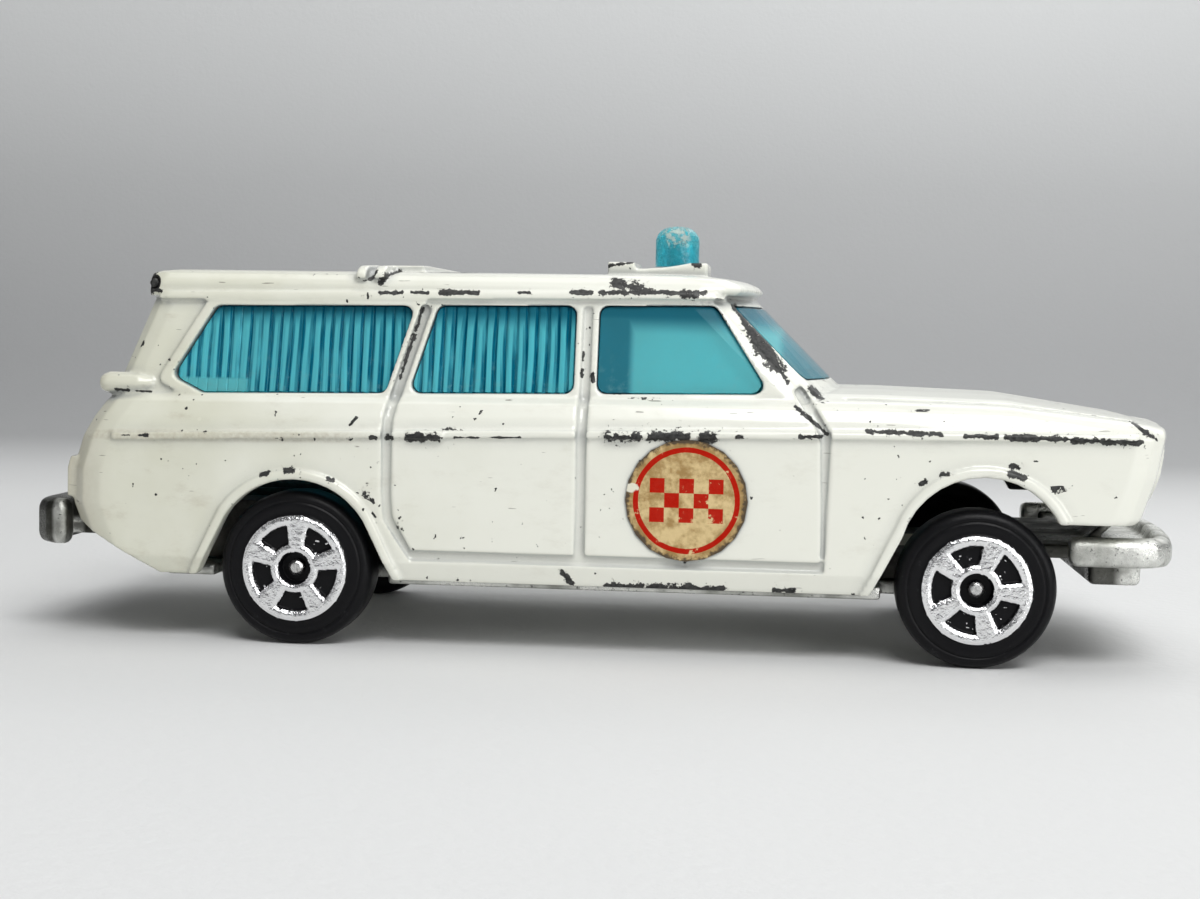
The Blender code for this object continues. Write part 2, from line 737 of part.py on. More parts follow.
def cabin(grow=0.0, low_z=None, high_z=None):
    """The pillars and panes between the waist and the gutter, as one closed volume."""
    low = CABIN_FOOT_Z - WALL if low_z is None else low_z
    high = GUTTER_Z + SHUT_GAP if high_z is None else high_z
    sections = []
    for z in (low, high):
        sections.append(plan_ring(
            cabin_tail_x(z) - grow, screen_x(z) + grow * sqrt(1 + SCREEN_RAKE ** 2),
            cabin_half_width(z) + grow, z, CABIN_SLOPE, CABIN_CORNER, SCREEN_CORNER, SCREEN_BOW))
    return loft(sections)


def roof(grow=0.0):
    """The roof panel: an edge above the gutter, a rounded cant rail and a shallow crown."""
    edge = cabin_half_width(GUTTER_Z) + ROOF_OVERHANG + grow
    depth = ROOF_Z - GUTTER_Z
    lip = screen_x(GUTTER_Z) + VISOR_REACH + grow
    rear = CABIN_TAIL_X - HINGE_PIN_RADIUS - grow
    sections = []
    for share, tuck, visor, tail in ROOF_SECTION:
        z = GUTTER_Z + share * depth + (grow if share > 0.5 else 0.0)
        rise = CABIN_SLOPE if share < 0.2 else ROOF_SLOPE
        sections.append(plan_ring(
            rear + tail * depth * ROOF_TAIL_ROUND, lip + visor * depth * CANT_ROUND,
            edge - tuck * depth * CANT_ROUND, z, rise,
            CABIN_CORNER * ROOF_CORNER_SHARE, SCREEN_CORNER, SCREEN_BOW * VISOR_BOW_SHARE))
    return loft(sections)


def skin_solid(grow=0.0):
    """The whole outside of the car as one closed volume."""
    return union(lower_body(grow), cabin(grow), roof(grow))


def hollow():
    """The space inside the body casting, open at the bottom."""
    inside = lower_body(-WALL, floor_z=SILL_Z - WALL, step=2)
    head = GUTTER_Z + (ROOF_Z - GUTTER_Z) - ROOF_WALL
    return union(inside, cabin(-WALL, low_z=BELT_MID_Z, high_z=head))


# Outlines on the car's side

def quarter_window():
    rear_head = REAR_AXLE_X - QUARTER_HEAD_BEHIND
    rear_sill = REAR_AXLE_X - QUARTER_SILL_BEHIND
    point = REAR_AXLE_X - QUARTER_POINT_BEHIND
    head = REAR_AXLE_X + C_PILLAR_HEAD_AHEAD - C_PILLAR_WIDTH / 2
    sill = REAR_AXLE_X + C_PILLAR_SILL_AHEAD - C_PILLAR_WIDTH / 2
    return [(rear_head, window_head(rear_head)), (head, window_head(head)), (sill, window_sill(sill)),
            (rear_sill, window_sill(rear_sill)), (point, QUARTER_POINT_Z + WINDOW_SILL_SLOPE * point)]


def rear_door_window():
    head = REAR_AXLE_X + C_PILLAR_HEAD_AHEAD + C_PILLAR_WIDTH / 2
    sill = REAR_AXLE_X + C_PILLAR_SILL_AHEAD + C_PILLAR_WIDTH / 2
    front = B_PILLAR_X - B_PILLAR_WIDTH / 2
    return [(head, window_head(head)), (front, window_head(front)), (front, window_sill(front)),
            (sill, window_sill(sill))]


def front_door_window():
    rear = B_PILLAR_X + B_PILLAR_WIDTH / 2
    head = screen_x(window_head(0.0)) - DOOR_GLASS_HEAD_SETBACK
    sill = screen_x(window_sill(0.0)) - DOOR_GLASS_SILL_SETBACK
    return [(rear, window_head(rear)), (head, window_head(head)), (sill, window_sill(sill)),
            (rear, window_sill(rear))]


def screen_opening():
    """The windscreen's opening seen from the front, as (y, z)."""
    foot = SCREEN_FOOT_Z + SCREEN_OPENING_FOOT
    head = window_head(screen_x(window_head(0.0)))
    narrow = SCREEN_OPENING_HALF_WIDTH - SCREEN_OPENING_LEAN * (head - foot)
    wide = SCREEN_OPENING_HALF_WIDTH
    return [(-narrow, head), (narrow, head), (wide, foot), (-wide, foot)]


def side_panes(gap):
    return [rounded(grown(outline, -gap), WINDOW_CORNER) for outline in
            (quarter_window(), rear_door_window(), front_door_window())]


def arch_outline(centre_x, radius, top_z, spread, grow=0.0):
    """A wheel arch: a round head with straight flanks that spread to the sill."""
    radius = radius + grow
    centre_z = top_z + grow - radius
    floor_z = SILL_Z - WALL
    run, drop = spread + grow, centre_z - floor_z
    touch = asin(radius / hypot(run, drop)) - atan2(drop, run)
    turns = [touch + (pi / 2 - touch) * i / ARCH_STEPS for i in range(ARCH_STEPS + 1)]
    rear, front = (
        [(centre_x + side * run, floor_z)]
        + [(centre_x + side * radius * cos(turn), centre_z + radius * sin(turn)) for turn in turns]
        for side in (-1, 1))
    return rear + front[-2::-1]


def rear_arch(grow=0.0):
    return arch_outline(REAR_AXLE_X, REAR_ARCH_RADIUS, REAR_ARCH_TOP_Z, REAR_ARCH_SPREAD, grow)


def front_arch(grow=0.0):
    return arch_outline(FRONT_AXLE_X + FRONT_ARCH_AHEAD, FRONT_ARCH_RADIUS, FRONT_ARCH_TOP_Z,
                        FRONT_ARCH_SPREAD, grow)


def strip(points, width):
    """A band of even width along a line of points."""
    left, right = [], []
    for i, point in enumerate(points):
        before = Vector(points[max(i - 1, 0)])
        after = Vector(points[min(i + 1, len(points) - 1)])
        along = (after - before).normalized()
        side = Vector((-along.y, along.x)) * (width / 2)
        left.append(tuple(Vector(point) + side))
        right.append(tuple(Vector(point) - side))
    return left + right[::-1]


def belt_line(start, end, steps=8):
    xs = [start + (end - start) * i / steps for i in range(steps + 1)]
    return [(x, belt_z(x)) for x in xs]


# Body casting

def bar_outline(x_low, x_high, z_low, z_high):
    return [(x_low, z_low), (x_high, z_low), (x_high, z_high), (x_low, z_high)]


def across(*outlines):
    """Outlines on the car's side, pushed right across it as one cutter."""
    return union(*[prism(outline, -ROOM, ROOM) for outline in outlines])


def both_sides(low, high):
    """A box and its mirror image across the car."""
    return union(box(low, high), box((low[0], -high[1], low[2]), (high[0], -low[1], high[2])))


def rear_door_seam_x():
    return REAR_AXLE_X + REAR_DOOR_SEAM_AHEAD


def handle_outline(seam_x):
    start = seam_x + HANDLE_SETBACK
    middle = belt_z(start)
    return bar_outline(start, start + HANDLE_LENGTH,
                       middle - HANDLE_HEIGHT / 2, middle + HANDLE_HEIGHT / 2)


def gutter_outline():
    start, end = CABIN_TAIL_X + HINGE_BAR_RADIUS, screen_x(GUTTER_Z)
    low = GUTTER_Z - GUTTER_HEIGHT
    high = GUTTER_Z + SHUT_GAP
    return [(start, low + CABIN_SLOPE * start), (end, low + CABIN_SLOPE * end),
            (end, high + CABIN_SLOPE * end), (start, high + CABIN_SLOPE * start)]


def plinth_outline():
    """Side view of the beacon's plinth: a rear block, a saddle that climbs, and a front block."""
    front = BEACON_X + PLINTH_AHEAD
    rear = front - PLINTH_LENGTH
    top, saddle = ROOF_Z + PLINTH_RISE, ROOF_Z + PLINTH_SADDLE
    start, end = rear + PLINTH_REAR_BLOCK, front - PLINTH_FRONT_BLOCK
    points = [(rear, ROOF_Z - ROOF_WALL / 2), (rear, top), (start, top)]
    steps = 5
    for i in range(steps):
        share = i / steps
        points.append((start + (end - start) * share, saddle + (top - saddle) * share ** 2))
    return points + [(end, top), (front, top), (front, ROOF_Z - ROOF_WALL / 2)]


def fin(side):
    """A short pod with round ends on the rear corner of the waist."""
    y = side * (cabin_half_width(FIN_Z) - FIN_WIDTH / 4)
    sections = []
    for along, size in FIN_SECTION:
        x = REAR_AXLE_X - FIN_BEHIND + along * FIN_LENGTH / 2
        turns = [i * 2 * pi / FIN_SIDES for i in range(FIN_SIDES)]
        sections.append([(x, y + size * FIN_WIDTH / 2 * cos(turn), FIN_Z + size * FIN_HEIGHT / 2 * sin(turn))
                         for turn in turns])
    return loft(sections)


def seams():
    """The lines sunk into the skin round the doors, up the pillars and along the bonnet."""
    rear = rear_door_seam_x()
    front = FRONT_AXLE_X - DOOR_FRONT_SETBACK
    pillar_foot = screen_x(WINDOW_SILL_Z) - DOOR_GLASS_SILL_SETBACK / 2
    low_corner = REAR_AXLE_X + REAR_ARCH_SPREAD + GROOVE_WIDTH
    pillar_head = REAR_AXLE_X + C_PILLAR_HEAD_AHEAD
    pillar_sill = REAR_AXLE_X + C_PILLAR_SILL_AHEAD
    doors = [(pillar_head, window_head(pillar_head)), (pillar_sill, window_sill(pillar_sill)),
             (rear, BELT_NOSE_Z), (rear, REAR_ARCH_TOP_Z - GROOVE_WIDTH),
             ((rear + low_corner) / 2 - GROOVE_WIDTH, (REAR_ARCH_TOP_Z + DOOR_SEAM_Z) / 2),
             (low_corner, DOOR_SEAM_Z), (front, DOOR_SEAM_Z), (front, belt_z(front)), (pillar_foot, BONNET_Z)]
    middle = [(B_PILLAR_X, DOOR_SEAM_Z), (B_PILLAR_X, window_head(B_PILLAR_X))]
    sides = across(strip(doors, GROOVE_WIDTH), strip(middle, GROOVE_WIDTH))
    start, end = SCREEN_FOOT_X + SCREEN_BOW, NOSE_X - NOSE_CORNER
    for side in (-1, 1):
        line = [(start, side * BONNET_SEAM_HALF_WIDTH), (end, side * BONNET_SEAM_HALF_WIDTH)]
        union(sides, prism(strip(line, GROOVE_WIDTH), belt_z(end), BONNET_Z + WALL, "Z"))
    return cut(sides, lower_body(-GROOVE_DEPTH), cabin(-GROOVE_DEPTH))


def rivet_post(x, seat_z, top_z):
    """A cast post that stands on the base."""
    return rod((x, 0.0, seat_z + RIVET_GAP), (x, 0.0, top_z), POST_RADIUS, POST_SEGMENTS)


def rivet(x, seat_z, head_z):
    """A post's spigot, which goes through the base, with its peened head below."""
    spigot = rod((x, 0.0, head_z - RIVET_HEAD_HEIGHT / 2), (x, 0.0, seat_z + WALL),
                 SPIGOT_RADIUS, PIN_SEGMENTS)
    head = rod((x, 0.0, head_z - RIVET_HEAD_HEIGHT), (x, 0.0, head_z), RIVET_HEAD_RADIUS, POST_SEGMENTS)
    return union(spigot, head)


def rivet_hole(x, seat_z, head_z):
    """What a rivet takes out of the base: the spigot's hole and the head's pocket."""
    pocket = rod((x, 0.0, BASE_Z - WALL), (x, 0.0, head_z + RIVET_GAP),
                 RIVET_HEAD_RADIUS + RIVET_GAP, POST_SEGMENTS)
    hole = rod((x, 0.0, head_z - RIVET_GAP), (x, 0.0, seat_z + WALL),
               SPIGOT_RADIUS + RIVET_GAP, PIN_SEGMENTS)
    return union(pocket, hole)


def body_shell(paint):
    body = skin_solid()
    ridge = strip(belt_line(TAIL_X + RIDGE_TAIL_SETBACK, NOSE_X - NOSE_CORNER), RIDGE_HEIGHT)
    union(body, common(lower_body(TRIM_PROUD), across(ridge)))
    arches = across(rear_arch(ARCH_LIP_WIDTH), front_arch(ARCH_LIP_WIDTH))
    union(body, common(lower_body(TRIM_PROUD), arches))
    handles = across(handle_outline(rear_door_seam_x()), handle_outline(B_PILLAR_X))
    union(body, common(lower_body(HANDLE_PROUD), handles))
    lip = prism(rounded(grown(quarter_window(), LIP_WIDTH), WINDOW_CORNER), -ROOM, ROOM)
    union(body, common(cabin(TRIM_PROUD), lip))
    union(body, common(cabin(TRIM_PROUD + ROOF_OVERHANG), across(gutter_outline())))

    ribs_z = GUTTER_Z + ROOF_RIB_FOOT
    above = ROOF_Z + WALL
    ribs = [box((x - ROOF_RIB_WIDTH / 2, -ROOM, ribs_z), (x + ROOF_RIB_WIDTH / 2, ROOM, above))
            for x in (ROOF_RIB_X, ROOF_RIB_X + ROOF_RIB_PITCH)]
    strip_start = ROOF_RIB_X + ROOF_RIB_PITCH
    strip_end = strip_start + ROOF_RIB_WIDTH / 2 + ROOF_STRIP_LENGTH
    panel = box((strip_start, -ROOF_STRIP_HALF_WIDTH, ribs_z), (strip_end, ROOF_STRIP_HALF_WIDTH, above))
    union(body, common(roof(ROOF_RIB_PROUD), union(*ribs, panel)))
    union(body, prism(plinth_outline(), -PLINTH_HALF_WIDTH, PLINTH_HALF_WIDTH))
    seat = ROOF_Z + BEACON_SEAT_RISE
    cut(body, rod((BEACON_X, 0.0, seat), (BEACON_X, 0.0, seat + WALL), BEACON_RADIUS + GLASS_GAP))
    union(body, rod((BEACON_X, 0.0, seat - WALL / 2), (BEACON_X, 0.0, seat + BEACON_PEG_HEIGHT),
                    BEACON_PEG_RADIUS, PIN_SEGMENTS))

    lamps = both_sides((TAIL_X - WALL, TAIL_LAMP_INNER_Y, TAIL_LAMP_LOW_Z),
                       (TAIL_X + TAIL_CORNER, TAIL_LAMP_OUTER_Y, TAIL_LAMP_HIGH_Z))
    union(body, common(lower_body(TAIL_LAMP_PROUD), lamps))
    for side in (-1, 1):
        place = (side * HEADLAMP_HALF_TRACK, HEADLAMP_Z)
        beam = rod((NOSE_X - NOSE_CORNER, *place), (NOSE_X + NOSE_CORNER, *place), HEADLAMP_RADIUS)
        union(body, common(lower_body(HEADLAMP_PROUD), beam), fin(side))
    cut(body, seams())

    cut(body, across(rear_arch()), across(front_arch()))
    kick = REAR_AXLE_X - TAIL_KICK_X
    cut(body, prism([(kick, SILL_Z), (kick - 2 * TAIL_KICK_RUN, SILL_Z + 2 * TAIL_KICK_RISE),
                     (kick - 2 * TAIL_KICK_RUN, BASE_Z - WALL), (kick, BASE_Z - WALL)], -ROOM, ROOM))
    cut(body, box((FRONT_AXLE_X + FRONT_ARCH_AHEAD, -ROOM, BASE_Z - WALL), (NOSE_X + ROOM, ROOM, NOSE_HEM_Z)))
    cut(body, box((NOSE_X - 2 * NOSE_CORNER, -GRILLE_HALF_WIDTH, NOSE_HEM_Z - WALL),
                  (NOSE_X + ROOM, GRILLE_HALF_WIDTH, GRILLE_HEAD_Z)))
    cut(body, box((TAIL_X - ROOM, -TAILGATE_HALF_WIDTH, TAILGATE_FOOT_Z),
                  (ROOF_END_X, TAILGATE_HALF_WIDTH, ROOF_Z + ROOM)))
    notch = BASE_WAIST_HALF_WIDTH + BASE_GAP
    cut(body, box((TAIL_X - ROOM, -notch, BASE_Z - WALL),
                  (REAR_POST_X + POST_RADIUS + BASE_GAP, notch, BASE_TONGUE_NOTCH_Z)))
    cut(body, rod((HINGE_X, -ROOM, HINGE_Z), (HINGE_X, ROOM, HINGE_Z),
                  HINGE_PIN_RADIUS + RUNNING_GAP, PIN_SEGMENTS))
    header = box((TAIL_X, -ROOM, HINGE_Z - HINGE_BAR_RADIUS), (ROOF_END_X + HEADER_DEPTH, ROOM, ROOF_Z))
    front_post = rivet_post(FRONT_POST_X, BASE_TOP_Z, BONNET_Z + WALL)
    rear_post = rivet_post(REAR_POST_X, REAR_POST_SEAT_Z, REAR_POST_TOP_Z)
    cut(body, cut(hollow(), header, front_post, rear_post))
    cut(body, *[prism(outline, -ROOM, ROOM) for outline in side_panes(0.0)])
    screen = rounded(screen_opening(), WINDOW_CORNER)
    cut(body, prism(screen, screen_x(GUTTER_Z) - SCREEN_CORNER, SCREEN_FOOT_X + ROOM, "X"))
    union(body, rivet(FRONT_POST_X, BASE_TOP_Z, BASE_Z + RIVET_HEAD_HEIGHT))
    union(body, rivet(REAR_POST_X, REAR_POST_SEAT_Z, REAR_RIVET_Z))
    return finish(body, "body_shell", paint, SMOOTH_ANGLE)


# Tailgate

def tailgate(paint):
    edge = TAILGATE_HALF_WIDTH - SHUT_GAP
    gate = cut(skin_solid(), hollow())
    common(gate, box((TAIL_X - ROOM, -edge, TAILGATE_FOOT_Z + SHUT_GAP),
                     (HINGE_X + HINGE_BAR_RADIUS / 2, edge, HINGE_Z)))
    rail_x = cabin_tail_x(TAILGATE_WINDOW_SILL_Z)
    rail_z = TAILGATE_WINDOW_SILL_Z - TAILGATE_RAIL_HEIGHT / 2
    rail = rod((rail_x, -edge, rail_z), (rail_x, edge, rail_z), TAILGATE_RAIL_HEIGHT / 2, PIN_SEGMENTS)
    union(gate, rail)
    grip = box((TAIL_X - ROOM, -TAILGATE_HANDLE_HALF_WIDTH, TAILGATE_HANDLE_Z - HANDLE_HEIGHT / 2),
               (TAIL_X + TAIL_CORNER, TAILGATE_HANDLE_HALF_WIDTH, TAILGATE_HANDLE_Z + HANDLE_HEIGHT / 2))
    union(gate, cut(common(lower_body(HANDLE_PROUD), grip), lower_body(-WALL / 2)))
    half = TAILGATE_WINDOW_HALF_WIDTH
    head = HINGE_Z - HINGE_BAR_RADIUS - TAILGATE_WINDOW_HEAD_DROP
    pane = rounded(bar_outline(-half, half, TAILGATE_WINDOW_SILL_Z, head), WINDOW_CORNER)
    cut(gate, prism(pane, TAIL_X - ROOM, HINGE_X + ROOM, "X"))
    union(gate, rod((HINGE_X, -edge, HINGE_Z), (HINGE_X, edge, HINGE_Z), HINGE_BAR_RADIUS, POST_SEGMENTS))
    pin = edge + HINGE_PIN_LENGTH
    union(gate, rod((HINGE_X, -pin, HINGE_Z), (HINGE_X, pin, HINGE_Z), HINGE_PIN_RADIUS, PIN_SEGMENTS))
    put_origin(gate, (HINGE_X, 0.0, HINGE_Z))
    return finish(gate, "tailgate", paint, SMOOTH_ANGLE)


# Base casting

def swept_bar(path, depth, height, z, slope=0.0):
    """A bumper: a bar with rounded edges along a line of (x, y) points, with its ends softened.

    Slope is the share of its height by which its upper outer edge falls.
    """
    corners = [(-depth / 2, -height / 2), (depth / 2, -height / 2), (depth / 2, height * (0.5 - slope)),
               (-depth / 2, height / 2)]
    outline = rounded(corners, depth * BUMPER_EDGE_SHARE, BUMPER_EDGE_STEPS)
    sections = []
    last = len(path) - 1
    for i, point in enumerate(path):
        along = (Vector(path[min(i + 1, last)]) - Vector(path[max(i - 1, 0)])).normalized()
        out = Vector((along.y, -along.x))
        size = BUMPER_END_SHARE if i in (0, last) else 1.0
        sections.append([(point[0] + out.x * a * size, point[1] + out.y * a * size, z + b * size)
                         for a, b in outline])
    return loft(sections)


def mirrored_path(half):
    """A path from the right side to the left one, from its left half that starts on the centre line."""
    return [(x, -y) for x, y in reversed(half[1:])] + half


def corner_arc(x, y, radius, toward, steps=3):
    """A quarter turn from straight across the car to straight along it."""
    turns = [i * pi / 2 / steps for i in range(steps + 1)]
    return [(x + toward * radius * cos(turn), y + radius * sin(turn)) for turn in turns]


def front_bumper():
    centre_x = NOSE_X + BUMPER_REACH - BUMPER_DEPTH / 2
    flat = BUMPER_HALF_WIDTH - BUMPER_DEPTH / 2 - BUMPER_CORNER
    half = [(centre_x - BUMPER_BOW * share * share, flat * share) for share in BUMPER_BOW_SHARES]
    half += corner_arc(centre_x - BUMPER_BOW - BUMPER_CORNER, flat, BUMPER_CORNER, 1)
    end = FRONT_AXLE_X + BUMPER_END_AHEAD
    side = flat + BUMPER_CORNER
    half += [(end + BUMPER_DEPTH / 4, side), (end, side)]
    return swept_bar(mirrored_path(half), BUMPER_DEPTH, BUMPER_HEIGHT, BUMPER_Z, BUMPER_SLOPE)


def rear_bumper():
    centre_x = TAIL_X - REAR_BUMPER_REACH + REAR_BUMPER_DEPTH / 2
    side = REAR_BUMPER_HALF_WIDTH - REAR_BUMPER_DEPTH / 2
    flat = side - REAR_BUMPER_CORNER
    half = [(centre_x, 0.0)] + corner_arc(centre_x + REAR_BUMPER_CORNER, flat, REAR_BUMPER_CORNER, -1)
    half.append((TAIL_X - REAR_BUMPER_END, side))
    return swept_bar(mirrored_path(half), REAR_BUMPER_DEPTH, REAR_BUMPER_HEIGHT, REAR_BUMPER_Z)


def thick(line, inset=0.0):
    """A line of (x, z) points given the base's thickness upward, less an inset on both faces."""
    return [(x, z + inset) for x, z in line] + [(x, z + BASE_THICKNESS - inset) for x, z in reversed(line)]


def grille_panel():
    """The nose panel between the wings, with upright bars standing in front of sunk slots."""
    panel = cut(lower_body(-GRILLE_SUNK), lower_body(-GRILLE_SUNK - GRILLE_THICKNESS))
    half = GRILLE_HALF_WIDTH - BASE_GAP
    top = GRILLE_HEAD_Z - BASE_GAP
    common(panel, box((NOSE_X - 2 * NOSE_CORNER, -half, APRON_Z + BASE_GAP), (NOSE_X + ROOM, half, top)))
    pitch = 2 * (half - GRILLE_FRAME) / GRILLE_SLOTS
    slots = []
    for i in range(GRILLE_SLOTS):
        y = -half + GRILLE_FRAME + pitch * i
        slots.append(box((NOSE_X - NOSE_CORNER, y + GRILLE_BAR_WIDTH / 2, NOSE_HEM_Z),
                         (NOSE_X + NOSE_CORNER, y + pitch - GRILLE_BAR_WIDTH / 2, top - GRILLE_FRAME)))
    return cut(panel, cut(union(*slots), lower_body(-GRILLE_SUNK - GRILLE_RELIEF)))


def base_plate(zinc):
    ramp_tail = REAR_AXLE_X - BASE_TAIL_RAMP_BEHIND
    tongue = ramp_tail - BASE_TAIL_RAMP
    ramp_nose = FRONT_AXLE_X + APRON_RAMP_AHEAD
    apron_start = NOSE_X - VALANCE_SETBACK
    bumper_joint = TAIL_X - REAR_BUMPER_REACH + REAR_BUMPER_DEPTH - WALL / 2
    spine = [(bumper_joint, BASE_TONGUE_Z), (tongue, BASE_TONGUE_Z), (ramp_tail, BASE_Z), (ramp_nose, BASE_Z),
             (ramp_nose + APRON_RAMP, APRON_Z), (apron_start + VALANCE_LENGTH / 2, APRON_Z)]
    base = prism(thick(spine), -BASE_WAIST_HALF_WIDTH, BASE_WAIST_HALF_WIDTH)

    inner = BODY_HALF_WIDTH - SILL_TUCK - WALL - BASE_GAP
    wing = WHEELBASE / 2 - WHEEL_RADIUS - BASE_WHEEL_ROOM
    union(base, box((-wing, -inner, BASE_Z), (wing, inner, BASE_TOP_Z)))
    wing_end = REAR_AXLE_X - BASE_REAR_WING_BEHIND
    wing_start = REAR_AXLE_X - WHEEL_RADIUS - BASE_WHEEL_ROOM
    wing_end_z = BASE_Z + (BASE_TONGUE_Z - BASE_Z) * (ramp_tail - wing_end) / BASE_TAIL_RAMP
    union(base, prism(thick([(wing_end, wing_end_z), (ramp_tail, BASE_Z), (wing_start, BASE_Z)], APRON_STEP),
                      -BASE_REAR_WING_HALF_WIDTH, BASE_REAR_WING_HALF_WIDTH))

    edge = APRON_HALF_WIDTH
    centre = FRONT_REACH - BUMPER_DEPTH * APRON_UNDER_BUMPER
    corner = centre - BUMPER_BOW * APRON_BOW_SHARE
    apron = [(apron_start, -edge), (corner, -edge), (centre, -edge / 2), (centre, edge / 2),
             (corner, edge), (apron_start, edge)]
    union(base, prism(apron, APRON_Z - APRON_STEP, APRON_Z + BASE_THICKNESS + APRON_STEP, "Z"))
    lip_start = apron_start + APRON_STEP
    union(base, soft_box((lip_start, -VALANCE_HALF_WIDTH, APRON_Z - VALANCE_DROP),
                         (lip_start + VALANCE_LENGTH, VALANCE_HALF_WIDTH, APRON_Z + BASE_THICKNESS / 2),
                         BASE_THICKNESS / 4))
    union(base, front_bumper(), rear_bumper(), grille_panel())

    boss = POST_RADIUS + POST_BOSS
    union(base, rod((REAR_POST_X, 0.0, REAR_BOSS_Z), (REAR_POST_X, 0.0, REAR_POST_SEAT_Z), boss))
    for x in (REAR_AXLE_X, FRONT_AXLE_X):
        union(base, both_sides((x - LUG_HALF_LENGTH, LUG_INNER_Y, BASE_Z + BASE_THICKNESS / 2),
                               (x + LUG_HALF_LENGTH, LUG_OUTER_Y, WHEEL_RADIUS + AXLE_RADIUS)))
        slot = AXLE_RADIUS + RUNNING_GAP
        cut(base, rod((x, -ROOM, WHEEL_RADIUS), (x, ROOM, WHEEL_RADIUS), slot, POST_SEGMENTS))
        cut(base, box((x - slot, -LUG_OUTER_Y - WALL, WHEEL_RADIUS),
                      (x + slot, LUG_OUTER_Y + WALL, 2 * WHEEL_RADIUS)))
    cut(base, rivet_hole(FRONT_POST_X, BASE_TOP_Z, BASE_Z + RIVET_HEAD_HEIGHT))
    cut(base, rivet_hole(REAR_POST_X, REAR_POST_SEAT_Z, REAR_RIVET_Z))
    return finish(base, "base_plate", zinc, SMOOTH_ANGLE)


# Glazing and beacon

def pleats():
    """A comb of V shaped grooves on both sides of the car, leaning in with the panes."""
    start, end = REAR_AXLE_X - QUARTER_POINT_BEHIND, B_PILLAR_X
    count = int((end - start) / PLEAT_PITCH)
    combs = []
    for side in (-1, 1):
        sections = []
        for z in (WINDOW_SILL_Z - 2 * WALL, WINDOW_HEAD_Z + WALL):
            skin = cabin_half_width(z) - GLASS_SUNK
            comb = []
            for i in range(count + 1):
                x = start + i * PLEAT_PITCH
                comb.append((x, side * (skin + GLASS_GAP), z))
                comb.append((x + PLEAT_PITCH / 2, side * (skin - PLEAT_DEPTH), z))
            last = start + (count + 1) * PLEAT_PITCH
            comb.append((last, side * (skin + GLASS_GAP), z))
            comb.append((last, side * (skin + WALL), z))
            comb.append((start, side * (skin + WALL), z))
            sections.append(comb)
        combs.append(loft(sections))
    return union(*combs)


def window_glazing(plastic):
    outer = -WALL - GLASS_GAP
    inner = outer - GLASS_THICKNESS
    head = ROOF_Z - ROOF_WALL - GLASS_GAP
    glass = cut(cabin(outer, GLASS_HEM_Z, head), cabin(inner, GLASS_HEM_Z - WALL, head - GLASS_THICKNESS))
    cut(glass, box((TAIL_X - ROOM, -ROOM, 0.0), (ROOF_END_X + HEADER_DEPTH + GLASS_GAP, ROOM, ROOM)))
    core = (inner + outer) / 2
    panes = common(cabin(-GLASS_SUNK), across(*side_panes(GLASS_GAP)))
    cut(panes, cabin(core, CABIN_FOOT_Z - 2 * WALL, GUTTER_Z + WALL), pleats())
    screen = rounded(grown(screen_opening(), -GLASS_GAP), WINDOW_CORNER)
    reach = prism(screen, screen_x(GUTTER_Z) - SCREEN_CORNER, SCREEN_FOOT_X + ROOM, "X")
    union(panes, cut(common(cabin(), reach), cabin(core, CABIN_FOOT_Z - 2 * WALL, GUTTER_Z + WALL)))
    union(glass, panes)
    return finish(glass, "window_glazing", plastic, SMOOTH_ANGLE)


def roof_beacon(plastic):
    bore = BEACON_PEG_RADIUS + RIVET_GAP
    depth = BEACON_PEG_HEIGHT + RIVET_GAP
    wall = BEACON_HEIGHT - BEACON_DOME
    profile = [(0.0, depth), (bore, depth), (bore, 0.0), (BEACON_RADIUS, 0.0)]
    steps = 4
    for i in range(steps):
        turn = i * pi / 2 / steps
        profile.append((BEACON_RADIUS * cos(turn), wall + BEACON_DOME * sin(turn)))
    profile.append((0.0, BEACON_HEIGHT))
    beacon = turned(profile, "beacon")
    beacon.data.transform(Matrix.Translation((BEACON_X, 0.0, ROOF_Z + BEACON_SEAT_RISE + RIVET_GAP)))
    return finish(beacon, "roof_beacon", plastic, SMOOTH_ANGLE)


# Floor tray

